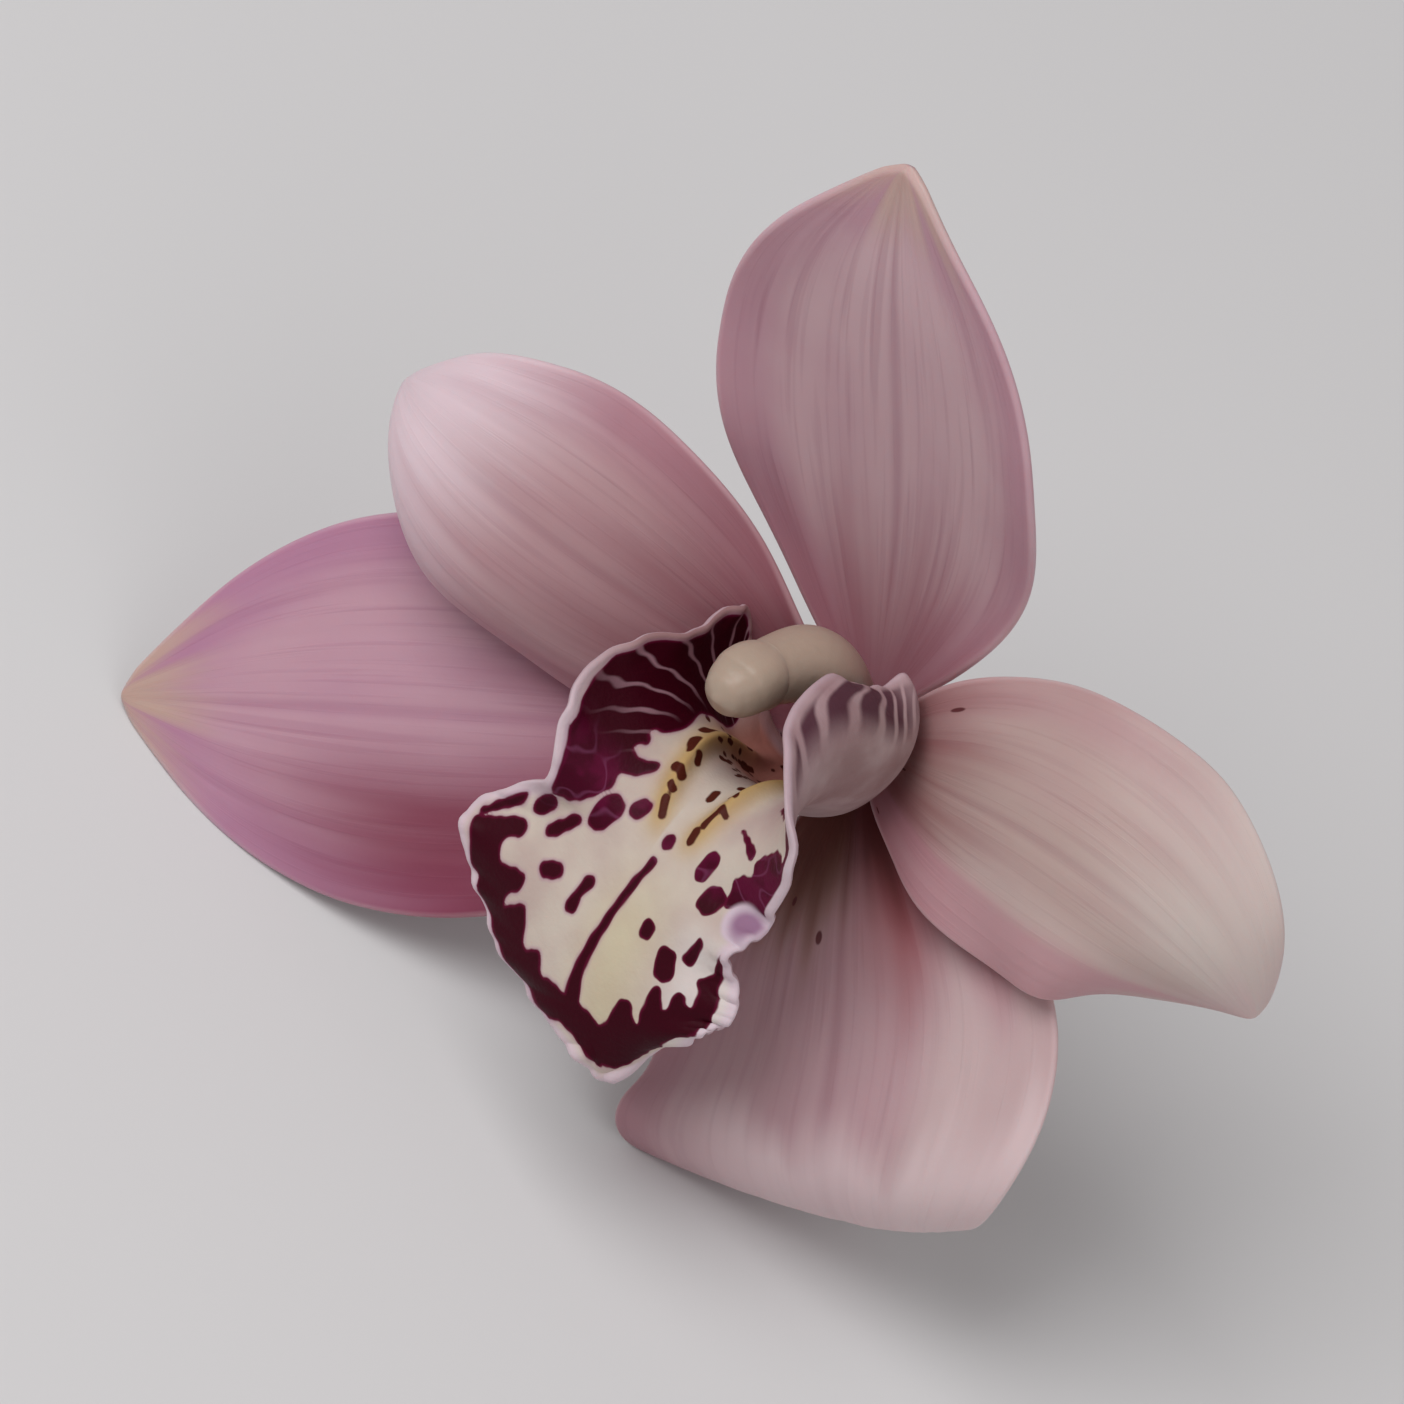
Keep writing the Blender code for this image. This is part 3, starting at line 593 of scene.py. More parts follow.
# %% Line numbers
VEIN_SPACING = 1.59              # millimetres between two pale veins
DASH_SPACING = 1.4               # millimetres between two dashes on the back


def vein_number(x, y):
    """Count of pale veins: the distance square to their slant, bent level near the margin, over their
    spacing."""
    out = np.abs(x)
    slanted = 0.77 * y - 0.64 * out + 0.35 * np.maximum(out - 12.5, 0) + 0.16 * wobble(x, y, 1.9, 1)
    return slanted / VEIN_SPACING - 0.22


def dash_number(x, y):
    """Count of dashes on the back: the height along the lip, bent down towards the side margin, over their
    spacing."""
    return (y + 0.07 * np.maximum(np.abs(x) - 17, 0) ** 2 + 0.2 * wobble(x, y, 3.0, 2)) / DASH_SPACING + 0.3


print("pale veins lie", VEIN_SPACING, "mm apart and the dashes on the back", DASH_SPACING, "mm")


# %% [markdown]
# The throat, at the lip's foot, has far too many freckles to set down by hand, so they are strewn by a
# draw from a fixed seed, which gives the same ones each time. All the marks are then worked out on the
# whole grid at once.

# %% Marks of the lip
THROAT_FRECKLES = 90


def scattered(x, y, count, seed):
    """Depth inside small daubs strewn over the throat by a seeded draw."""
    draw = np.random.default_rng(seed)
    deepest = np.full_like(x, -1.0)
    for _ in range(count):
        cy = draw.uniform(2.5, 17.0)
        cx = draw.uniform(-1, 1) * (3.5 + 0.25 * cy)
        radius = draw.uniform(0.14, 0.34)
        daub = (cx, cy, cx * 1.03, cy + draw.uniform(0.2, 0.9), radius, radius)
        deepest = np.maximum(deepest, daub_depth(x, y, daub))
    return deepest


def lip_marks(sheet):
    """All the numbers that the lip's finish reads, each on the flattened lip: depths in millimetres and
    shares."""
    x, y, margin = sheet.across(), sheet.s * sheet.length / MM, sheet.to_margin()
    rough_x, rough_y = x + 0.1 * wobble(x, y, 0.9, 3), y + 0.1 * wobble(x, y, 1.0, 8)
    patches = [patch_depth(rough_x, rough_y, corners) for corners in PATCHES]
    daubs = [daub_depth(rough_x, rough_y, daub) for daub in STROKE + DAUBS]
    side = fade(np.hypot(x, (y - 14) * 0.8), 7.5, 11) * (1 - fade(y, 19, 25))
    ink = np.minimum(np.max(patches + daubs, axis=0), margin - 0.6)
    freckle = np.max([daub_depth(rough_x, rough_y, daub) for daub in FRECKLES], axis=0)
    freckle = np.maximum(freckle, scattered(x, y, THROAT_FRECKLES, 5))
    yellow = np.exp(-(from_keel(sheet) / 1.4) ** 2) * fade(y, 6, 16) * (1 - fade(y, 24.5, 28.5))
    return {"ink": ink, "freckle": freckle, "side": side, "yellow": yellow,
            "veins": vein_number(x, y), "dashes": dash_number(x, y),
            "disc": np.hypot(x - DISC[0], y - DISC[1]), "flat_x": x, "flat_y": y}


print("the throat gets", THROAT_FRECKLES, "strewn freckles")


# %% [markdown]
# The lip's sheet is crisped before it gets its thickness, so its wall stays even through the ruffles.
# The keels are then raised on its front alone. Sculpting the ruffles by hand could give a livelier rim,
# but it would have to be done again whenever the lip's bend is changed.

# %% The lip's skin
LIP_THICKNESS = 1.1 * MM
LIP_EDGE_THICKNESS = 0.7 * MM


def make_lip():
    """The lip as a skin, with its markings stored on its points. Its thickness falls from the midline
    with v squared, and half of it lies on each side of the sheet."""
    sheet = Sheet(LIP, rows=240, columns=200, crowding=0.15)
    sheet.points = sheet.points + sheet.normal * crisping(sheet)[..., None]
    sheet.normal = sheet.normals()
    thickness = LIP_EDGE_THICKNESS + (LIP_THICKNESS - LIP_EDGE_THICKNESS) * (1 - sheet.v**2)
    half = thickness / 2 * round_edge(sheet, reach=0.45)
    front = sheet.points + sheet.normal * (half + keel_rise(sheet))[..., None]
    back = sheet.points - sheet.normal * half[..., None]
    marks = {name: both_faces(values) for name, values in lip_marks(sheet).items()}
    marks["margin"] = both_faces(sheet.to_margin())
    marks["front"] = front_mark(sheet)
    return make_piece("lip_bloom", "lip", marks, *skin(front, back))


lip = make_lip()


# %% [markdown]
# ## Tubes
# The column, its cap and the stalk are all tubes whose radius changes along them and round them. A
# curve object with a bevel could carry a round section along a path, but not one that is hollowed or
# ribbed, so the rings are worked out here.

# %% Tubes
def tube(rings):
    """Points, wall and end faces of a tube through rings of points. A fan to its own centre closes each
    end."""
    count, sides = rings.shape[:2]
    index = np.arange(count * sides).reshape(count, sides)
    turned = np.roll(index, -1, axis=1)
    wall = np.stack([index[:-1], turned[:-1], turned[1:], index[1:]], -1).reshape(-1, 4)
    first, last = count * sides, count * sides + 1
    foot = np.stack([np.full(sides, first), turned[0], index[0]], -1)
    end = np.stack([np.full(sides, last), index[-1], turned[-1]], -1)
    points = np.concatenate([rings.reshape(-1, 3), rings[:1].mean(axis=1), rings[-1:].mean(axis=1)])
    return points, wall, np.concatenate([foot, end])


def tube_rings(route, radii, count, sides, shape_round=None):
    """Rings of points square to a smooth route: its centre plus the radius times a turned side and top.

    shape_round(angle, place) scales the radius. The angle starts at +X and turns towards the tube's top.
    """
    place = np.linspace(0, 1, count)
    stations = np.linspace(0, 1, len(route))
    centre = np.stack([curve_through(list(zip(stations, axis)), place) for axis in np.array(route).T], -1)
    along = np.gradient(centre, axis=0)
    along /= np.linalg.norm(along, axis=-1, keepdims=True)
    top = np.array([0, 0, 1.0]) - along * along[:, 2:]
    top /= np.linalg.norm(top, axis=-1, keepdims=True)
    side = np.array([[1.0, 0, 0]])
    angle = np.linspace(0, 2 * np.pi, sides, endpoint=False)[None, :]
    reach = curve_through(radii, place)[:, None]
    if shape_round:
        reach = reach * shape_round(angle, place[:, None])
    rings = (centre[:, None] + (reach * np.cos(angle))[..., None] * side[:, None]
             + (reach * np.sin(angle))[..., None] * top[:, None])
    return rings, place[:, None] + 0 * angle, angle + 0 * place[:, None]


def tube_marks(place, angle):
    """Place along a tube and how far down each point faces, with the two end points added."""
    ends = np.array([0.0, 1.0])
    return {"along": np.concatenate([place.ravel(), ends]),
            "under": np.concatenate([-np.sin(angle).ravel(), ends * 0])}


straight_rings = tube_rings(((0, 0, 0), (0, 1, 0)), STRAIGHT, 3, 6)[0]
print("a tube of", straight_rings.shape[0], "rings of", straight_rings.shape[1], "points has",
      len(tube(straight_rings)[0]), "points")


# %% [markdown]
# ## Column and cap
# The column is a short arched club, hollowed underneath, and the cap closes its end like a lid with a
# shallow groove on top.

# %% Column and cap surfaces
COLUMN_ROUTE = np.array([(0, -0.7, 0), (0, -4, 0.6), (0, -10, 4.6), (0, -17, 6.9), (0, -24, 5.6)]) * MM
COLUMN_FOOT_RADIUS = 2.5 * MM
COLUMN_END_RADIUS = 3.6 * MM
CAP_RADIUS = 3.0 * MM
CAP_REACH = 5.7 * MM             # from the column's end to the cap's tip
CAP_SEAT = 0.15 * MM             # from the column's end to the cap's rim


def column_section(angle, place):
    """Round above, with a shallow hollow below that deepens towards the end."""
    below = np.clip(-np.sin(angle), 0, 1)
    return 1 + 0.06 * np.cos(angle) ** 2 - (0.10 + 0.22 * place) * below**3


def make_column():
    """The arched column, thickest at its end."""
    radii = ((0, COLUMN_FOOT_RADIUS), (0.35, 3.1 * MM), (0.7, COLUMN_END_RADIUS),
             (1, 0.79 * COLUMN_END_RADIUS))
    rings, place, angle = tube_rings(COLUMN_ROUTE, radii, 140, 96, column_section)
    return make_piece("column_bloom", "column", tube_marks(place, angle), *tube(rings))


def cap_section(angle, place):
    """Round, with a groove along its top."""
    top = np.clip(np.sin(angle), 0, 1)
    return 1 - 0.12 * top**8 * np.sin(np.pi * place)


def make_cap():
    """The anther cap: a dome off the column's end, bent down over its front."""
    end, before = COLUMN_ROUTE[-1], COLUMN_ROUTE[-2]
    along = (end - before) / np.linalg.norm(end - before)
    down = along + np.array([0, 0, -0.25])
    down /= np.linalg.norm(down)
    tip = end + down * CAP_REACH + np.array([0, 0, -0.5 * MM])
    route = [end + along * CAP_SEAT, end + along * 1.6 * MM, end + down * 3.2 * MM, tip]
    dome = ((0, 1.02), (0.12, 1.04), (0.35, 1.04), (0.6, 0.99), (0.82, 0.78), (0.94, 0.48), (1, 0.1))
    radii = [(place, share * CAP_RADIUS) for place, share in dome]
    rings, place, angle = tube_rings(route, radii, 80, 72, cap_section)
    return make_piece("anther_cap_bloom", "anther_cap", tube_marks(place, angle), *tube(rings))


column, cap = make_column(), make_cap()


# %% [markdown]
# ## Stalk
# Behind the flower the collar narrows into the ovary, which carries six low ribs, and the stalk below
# it curves back and down to a clean cut.

# %% Stalk surface
COLLAR_RADIUS = 4.7 * MM
OVARY_RADIUS = 3.0 * MM
STALK_RADIUS = 2.5 * MM
STALK_ROUTE = np.array([(0, -0.1, 0), (0, 11, -1.4), (0, 22, -7), (0, 30.5, -17)]) * MM
RIB_HEIGHT = 0.14 * MM
RIBS = 6


def ribbed(angle, place):
    """Six low ribs along the ovary, fading out at the collar and towards the stalk's cut end."""
    shown = np.clip(place / 0.15, 0, 1) * np.clip((1.25 - place) / 0.6, 0, 1)
    return 1 + RIB_HEIGHT / OVARY_RADIUS * shown * np.cos(RIBS * angle)


def make_stalk():
    """The ovary and stalk: a collar under the blades, then a ribbed stem that curves back and down."""
    radii = ((0, COLLAR_RADIUS), (0.05, 0.93 * COLLAR_RADIUS), (0.12, 1.1 * OVARY_RADIUS),
             (0.2, OVARY_RADIUS), (0.5, OVARY_RADIUS), (0.75, 0.9 * OVARY_RADIUS), (1, STALK_RADIUS))
    rings, place, angle = tube_rings(STALK_ROUTE, radii, 150, 96, ribbed)
    return make_piece("stalk_bloom", "pedicel_ovary", tube_marks(place, angle), *tube(rings))


stalk = make_stalk()


# %% [markdown]
# ## Writing a finish as sums
# A finish is a graph of nodes, and most of it is arithmetic. The small class below wraps one output
# socket, so that a sum in Python adds the Math node that does it. Colours are mixed by Mix nodes,
# because a Math node would turn them grey.

# %% A socket that can be summed
class Value:
    """One output socket. Arithmetic on it adds Math nodes and gives the result's socket."""

    def __init__(self, finish, socket):
        self.finish, self.socket = finish, socket

    def __add__(self, other):
        return self.finish.maths("ADD", self, other)

    def __sub__(self, other):
        return self.finish.maths("SUBTRACT", self, other)

    def __rsub__(self, other):
        return self.finish.maths("SUBTRACT", other, self)

    def __mul__(self, other):
        return self.finish.maths("MULTIPLY", self, other)

    def __abs__(self):
        return self.finish.maths("ABSOLUTE", self)

    __radd__ = __add__
    __rmul__ = __mul__


def colour(red, green, blue):
    """A screen colour of 0 to 255 as the linear colour that Blender works in."""
    share = np.array([red, green, blue]) / 255
    linear = np.where(share <= 0.04045, share / 12.92, ((share + 0.055) / 1.055) ** 2.4)
    return (*linear.tolist(), 1.0)


print("half-bright grey on the screen is", round(colour(128, 128, 128)[0], 3), "in linear light")


# %% [markdown]
# A finish keeps its node tree and its shader together. One method adds any node: its settings come
# first, because they decide which sockets it has. The other methods are short names for the nodes that
# this flower needs most.

# %% A finish and its nodes
BLADE_HALF_WIDTH = 18            # millimetres, of a usual blade, by which streaks are scaled across
BLADE_LENGTH = 55                # millimetres, along


class Finish:
    """A material whose nodes are added by method calls. Fixed qualities are set on the shader's own
    sockets."""

    def __init__(self, name, **fixed):
        self.material = bpy.data.materials.new(name)
        self.material.use_nodes = True
        self.tree = self.material.node_tree
        self.shader = self.tree.nodes["Principled BSDF"]
        self.marks = {}
        for socket, value in fixed.items():
            self.shader.inputs[socket.replace("_", " ")].default_value = value

    def node(self, kind, settings=None, sockets=None, output=0):
        """A node with its settings made first, then its sockets filled with numbers, colours or links."""
        made = self.tree.nodes.new(kind)
        for setting, value in (settings or {}).items():
            setattr(made, setting, value)
        for socket, value in (sockets or {}).items():
            self.fill(made.inputs[socket], value)
        return Value(self, made.outputs[output])

    def fill(self, socket, value):
        """Links a Value to a socket, or sets the socket's own number or colour."""
        if isinstance(value, Value):
            self.tree.links.new(value.socket, socket)
        else:
            socket.default_value = value

    def maths(self, operation, *values):
        """A Math node on numbers or links."""
        return self.node("ShaderNodeMath", {"operation": operation}, dict(enumerate(values)))

    def mark(self, name):
        """A number stored on the mesh. Each is read by one node, however often it is asked for."""
        if name not in self.marks:
            self.marks[name] = self.node("ShaderNodeAttribute", {"attribute_name": name}, output="Fac")
        return self.marks[name]

    def noise(self, size, detail=3.0):
        """Soft noise from 0 to 1 with features of about that size in metres."""
        place = self.node("ShaderNodeTexCoord", output="Object")
        return self.node("ShaderNodeTexNoise", None, {"Vector": place, "Scale": 1 / size, "Detail": detail})

    def streaks(self, width, length, seed):
        """Noise drawn out along a blade: features of about width by length millimetres, narrower at its
        ends."""
        across = self.mark("across") * (BLADE_HALF_WIDTH / width)
        along = self.mark("along") * (BLADE_LENGTH / length)
        at = self.node("ShaderNodeCombineXYZ", None, {"X": across, "Y": along, "Z": seed})
        return self.node("ShaderNodeTexNoise", None, {"Vector": at, "Scale": 1.0, "Detail": 2.0})

    def step(self, value, start, end):
        """0 where value is before start and 1 after end, with a smooth S between. start may be the
        larger."""
        if start > end:
            return 1 - self.step(value, end, start)
        return self.node("ShaderNodeMapRange", {"interpolation_type": "SMOOTHSTEP"},
                         {"Value": value, "From Min": start, "From Max": end})

    def mix(self, share, first, second):
        """The first colour where share is 0 and the second where it is 1."""
        return self.node("ShaderNodeMix", {"data_type": "RGBA"}, {0: share, 6: first, 7: second}, output=2)

    def use(self, socket, value):
        """Feeds one of the shader's own sockets."""
        self.fill(self.shader.inputs[socket], value)

    def bump(self, height, depth, strength=1.0):
        """Relief from a height of 0 to 1 that stands for depth metres."""
        sockets = {"Height": height, "Distance": depth, "Strength": strength}
        self.use("Normal", self.node("ShaderNodeBump", None, sockets, output="Normal"))


print("a finish has", sum(not name.startswith("_") for name in vars(Finish)), "short methods")


# %% [markdown]
# ## Petal finish
# A petal is pale tissue with darker veins that run from foot to tip, most of them faint and broken.
# Light goes in and comes out tinted, which subsurface scattering gives. Long streaks of noise that
# follow the blade carry most of the picture, and the veins only sharpen it. Washes of a second colour
# come in from the foot or from one side.

# %% Petal finish
FOOT_HALF_WIDTH = 15             # millimetres, of a blade about where its specks lie
WAXY = dict(Subsurface_Weight=0.3, Subsurface_Radius=(1.0, 0.45, 0.4), Subsurface_Scale=0.0022,
            Specular_IOR_Level=0.3)


def veined_tissue(finish, edge, centre, vein, vein_strength, broad, coarse, fine, clouds):
    """The margin's colour turning into the centre's with the distance inwards and broad streaks. Then
    come coarse and fine veins where narrow streaks peak, and the midrib."""
    along, across, margin = finish.mark("along"), finish.mark("across"), finish.mark("margin")
    inward = finish.step(margin, 0.5, 9.0) * 0.7 + (broad * 0.55 + clouds * 0.45 - 0.5) * 1.3 + 0.15
    tone = finish.mix(finish.step(inward, 0.0, 1.0), edge, centre)
    inside = finish.step(margin, 0.2, 2.5) * finish.step(along, 1.0, 0.9)
    tone = finish.mix((coarse * 0.6 + fine * 0.4) * inside * vein_strength, tone, vein)
    midrib = finish.step(abs(across), 0.06, 0.0) * finish.step(along, 0.1, 0.3)
    return finish.mix(midrib * vein_strength, tone, vein)


def washed(finish, tone, washes, broad):
    """Each wash is a colour, its strength, and the stretches of the place along and the place across
    over which it fades in, both made uneven by the broad streaks."""
    uneven = (broad - 0.5) * 0.3
    for tint, strength, (from_s, to_s), (from_v, to_v) in washes:
        fade_along = finish.step(finish.mark("along") + uneven, from_s, to_s)
        fade_across = finish.step(finish.mark("across") + uneven, from_v, to_v)
        tone = finish.mix(fade_along * fade_across * strength, tone, tint)
    return tone


def specked(finish, tone, specks):
    """Each speck is an ellipse on the front: its place along and across, and half its length and width in
    millimetres. The squares of both distances over those halves are added, and the sum is 1 on its rim."""
    for place, off_centre, half_long, half_wide in specks:
        reach = finish.maths("POWER", (finish.mark("along") - place) * (BLADE_LENGTH / half_long), 2)
        sideways = (finish.mark("across") - off_centre) * (FOOT_HALF_WIDTH / half_wide)
        reach = reach + finish.maths("POWER", sideways, 2)
        speck = finish.step(reach, 1.5, 0.6) * finish.mark("front")
        tone = finish.mix(speck * 0.9, tone, colour(84, 22, 30))
    return tone


def petal_finish(name, edge, centre, vein, vein_strength, washes, specks=()):
    """Veined tissue, washed, duller on the back, with its specks, a paler rim of painted glow where light
    comes through the thin edge, and a fine waxy grain.
    """
    finish = Finish(name, **WAXY)
    broad = finish.streaks(5, 40, 1.0)
    narrow = finish.streaks(1.5, 30, 7.0)
    coarse = finish.step(narrow, 0.52, 0.68)
    fine = finish.step(finish.streaks(0.55, 24, 9.0), 0.52, 0.68)
    clouds = finish.noise(0.012, 2.0)
    tone = veined_tissue(finish, edge, centre, vein, vein_strength, broad, coarse, fine, clouds)
    tone = washed(finish, tone, washes, broad)
    back = (1 - finish.mark("front")) * finish.step(abs(finish.mark("across")), 0.95, 0.2)
    tone = finish.mix(back * 0.45, tone, colour(178, 126, 146))
    tone = specked(finish, tone, specks)
    # The paler rim is painted glow of light coming through the thin edge from behind.
    rim = finish.step(finish.mark("margin"), 0.6, 0.1) * clouds * 0.5
    finish.use("Base Color", finish.mix(rim, tone, colour(222, 200, 204)))
    grain = finish.noise(0.0005, 2.0)
    finish.use("Roughness", 0.42 + grain * 0.14)
    finish.bump(narrow * 0.5 + fine * 0.2 + grain * 0.15, 0.0002, 0.35)
    return finish.material


print("light spreads about", round(WAXY["Subsurface_Scale"] / MM, 1), "mm inside the waxy tissue")


# %% [markdown]
# Each blade has its own two tones and its own washes, read off the real flower with the light and shade
# that fell on it: the left sepal is magenta near the lip, partly its own flush and partly painted shadow,
# and cream at its tip, the right one is dull red at its foot, darker there with painted shade under the
# lip, and paler to one side and towards its tip with painted light, and so on.

# %% Looks of the sepals and petals
EVERYWHERE = (-3.0, -2.0)        # a stretch that is always past its end
LOOKS = {
    "lateral_sepal_left": petal_finish(
        "left sepal", colour(178, 126, 154), colour(194, 152, 166), colour(146, 80, 114), 0.3,
        # The magenta near the lip on one side is partly the sepal's own flush and partly painted shadow of
        # the left petal, with painted shade on its lower side.
        washes=((colour(122, 28, 60), 0.86, (0.87, 0.5), (-0.02, 0.52)),
                (colour(140, 58, 82), 0.65, (0.5, 0.15), EVERYWHERE),
                (colour(194, 168, 146), 0.75, (0.84, 1.0), EVERYWHERE))),
    "lateral_sepal_right": petal_finish(
        "right sepal", colour(168, 124, 134), colour(186, 152, 158), colour(140, 88, 102), 0.3,
        # This wash and the last one are painted light: the sepal is paler on the side and the outer part
        # that the light falls on.
        washes=((colour(200, 180, 178), 0.6, (0.25, 0.5), (0.05, 0.6)),
                # The three washes at the foot are partly the sepal's own ochre and red and partly painted
                # shade under the lip; the darkest, at the very foot, is painted shade.
                (colour(130, 92, 54), 0.75, (0.32, 0.1), (0.15, -0.1)),
                (colour(146, 52, 58), 0.75, (0.44, 0.15), (-0.1, 0.35)),
                (colour(84, 24, 20), 0.85, (0.26, 0.08), EVERYWHERE),
                (colour(224, 204, 206), 0.62, (0.5, 0.62), (-0.9, -0.2))),
        specks=((0.26, -0.145, 0.6, 0.3), (0.195, -0.38, 0.4, 0.22))),
    "dorsal_sepal": petal_finish(
        "top sepal", colour(186, 142, 156), colour(206, 174, 180), colour(150, 94, 114), 0.34,
        washes=((colour(152, 86, 98), 0.65, (0.42, 0.05), EVERYWHERE),
                (colour(196, 170, 150), 0.6, (0.86, 1.0), EVERYWHERE))),
    "petal_left": petal_finish(
        "left petal", colour(174, 128, 140), colour(186, 150, 154), colour(140, 90, 104), 0.28,
        washes=((colour(134, 66, 78), 0.75, (0.65, 0.1), EVERYWHERE),
                (colour(228, 208, 216), 0.85, (0.55, 0.9), EVERYWHERE))),
    "petal_right": petal_finish(
        "right petal", colour(180, 144, 146), colour(184, 160, 154), colour(154, 114, 118), 0.3,
        washes=((colour(134, 66, 70), 0.75, (0.42, 0.04), EVERYWHERE),
                (colour(216, 204, 198), 0.75, (0.5, 0.85), (-0.5, 0.1)),
                # The pale band along the fold of one margin is a painted highlight on the crease.
                (colour(206, 184, 180), 0.5, (0.2, 0.4), (-0.26, -0.4)),
                (colour(192, 138, 150), 0.6, (0.95, 0.75), (-0.4, -0.58)),
                (colour(212, 182, 184), 0.5, (0.85, 1.0), EVERYWHERE)),
        specks=((0.228, 0.71, 0.8, 0.32), (0.12, -0.02, 0.45, 0.25), (0.09, -0.85, 0.4, 0.2))),
}
for name, piece in sepals_and_petals.items():
    piece.data.materials.append(LOOKS[name])
print("finishes made for", len(LOOKS), "blades")


# %% [markdown]
# ## Lip finish
# The markings arrive as depths in millimetres, so one smooth step at zero draws each of them. The red
# is purple where it is thin, at its edges. The pale veins are drawn from their stored number: its
# distance to the nearest whole number, times the spacing, is the distance to the nearest vein. The
# dashes on the back are made alike.

# %% Front of the lip
HALO = 0.35                      # millimetres of purple haze outside the markings


def to_line(finish, number, spacing):
    """Millimetres to the nearest line of a family, from the line number that the mesh carries."""
    return finish.maths("PINGPONG", number + 100, 0.5) * spacing


def lip_ground(finish, clouds):
    """Cream, yellower down the middle, with mauve side lobes, a warm throat, yellow keels, brown
    freckles and a pale rim."""
    side, margin = finish.mark("side"), finish.mark("margin")
    flat_x, flat_y = finish.mark("flat_x"), finish.mark("flat_y")
    tone = finish.mix(finish.step(clouds, 0.3, 0.7), colour(190, 170, 162), colour(202, 188, 176))
    middle = finish.step(abs(flat_x - 1.5), 6, 0) * finish.step(flat_y, 26, 36)
    middle = middle * finish.step(flat_y, 47, 43)
    tone = finish.mix(middle * 0.45, tone, colour(204, 194, 150))
    right = finish.step(flat_x, 5, 9) * finish.step(flat_y, 30, 34)
    tone = finish.mix(right * 0.6, tone, colour(222, 212, 212))
    tone = finish.mix(side * 0.75, tone, colour(176, 144, 146))
    throat = finish.step(flat_y, 18, 10) * finish.step(abs(flat_x), 11, 6)
    tone = finish.mix(throat * 0.85, tone, colour(168, 100, 88))
    tone = finish.mix(finish.mark("yellow") * 0.8, tone, colour(186, 148, 76))
    tone = finish.mix(finish.step(finish.mark("freckle"), -0.08, 0.08), tone, colour(78, 30, 20))
    rim = finish.mix(side, colour(212, 190, 202), colour(148, 110, 112))
    return finish.mix(finish.step(margin, 1.4, 0.4) * 0.8, tone, rim)


def lip_wine(finish):
    """Wine red, purple at its edges, blotched where the side lobes meet the front lobe, and parted by
    the pale veins of the side lobes."""
    flat_y = finish.mark("flat_y")
    wine = finish.mix(finish.step(finish.mark("ink"), 0.0, 0.35), colour(96, 10, 46), colour(56, 2, 18))
    flank = finish.step(flat_y, 30, 27) * finish.step(flat_y, 22.5, 25.5)
    blotch = 0.3 + finish.step(finish.noise(0.0026, 2.0), 0.42, 0.62) * 0.6
    wine = finish.mix(flank * blotch, wine, colour(92, 8, 48))
    winding = finish.step(abs(finish.noise(0.0038, 1.0) - 0.47), 0.03, 0.0)
    wine = finish.mix(winding * flank * 0.24, wine, colour(150, 84, 124))
    width = finish.noise(0.003, 2.0) * 0.34 - 0.07
    vein = finish.step(to_line(finish, finish.mark("veins"), VEIN_SPACING) - width, 0.1, -0.06)
    vein = vein * finish.mark("side") * finish.step(flat_y, 24.5, 20.5)
    return finish.mix(vein * 0.85, wine, colour(166, 126, 138))


def lip_front(finish, clouds):
    """The ground, a soft purple halo round the markings, the markings themselves, and the round mauve
    spot."""
    ink, disc = finish.mark("ink"), finish.mark("disc")
    halo = finish.step(ink, -HALO, 0.0) * finish.step(finish.mark("flat_x"), 4, -2) * 0.4
    tone = finish.mix(halo, lip_ground(finish, clouds), colour(164, 108, 144))
    tone = finish.mix(finish.step(ink, -0.08, 0.08), tone, lip_wine(finish))
    tone = finish.mix(finish.step(disc, 2.6, 2.0), tone, colour(204, 184, 196))
    return finish.mix(finish.step(disc, 2.1, 0.9) * 0.9, tone, colour(142, 100, 132))


print("purple haze reaches", HALO, "mm beyond the markings")


# %% [markdown]
# The lip's back is seen on the upright side lobe: greyish mauve, with the front's markings showing
# through as dull dashes. One material holds both faces. A stored number of 1 on the front and 0 on the
# back picks between them, and changes within the half millimetre of the rounded edge.

# %% Back of the lip, and both faces together
def lip_back(finish, clouds):
    """Greyish mauve, paler down the middle, with dull dashes near the side margins."""
    margin = finish.mark("margin")
    tone = finish.mix(finish.step(clouds, 0.3, 0.7), colour(152, 124, 124), colour(180, 158, 158))
    tone = finish.mix(finish.step(margin, 6.0, 1.0) * 0.4, tone, colour(158, 122, 132))
    near = finish.step(abs(finish.mark("flat_x")), 16.5, 19.5) * finish.step(margin, 0.7, 1.4)
    near = near * finish.step(finish.mark("flat_y"), 10, 15)
    width = 0.32 + finish.noise(0.004, 1.0) * 0.3
    dash = finish.step(to_line(finish, finish.mark("dashes"), DASH_SPACING) - width, 0.14, -0.14)
    tone = finish.mix(dash * near * 0.92, tone, colour(72, 34, 48))
    shown = finish.step(finish.mark("ink"), -0.5, 0.9) * (1 - finish.mark("side")) * 0.5
    tone = finish.mix(shown, tone, colour(122, 74, 92))
    return finish.mix(finish.step(margin, 0.8, 0.2) * 0.6, tone, colour(196, 172, 182))


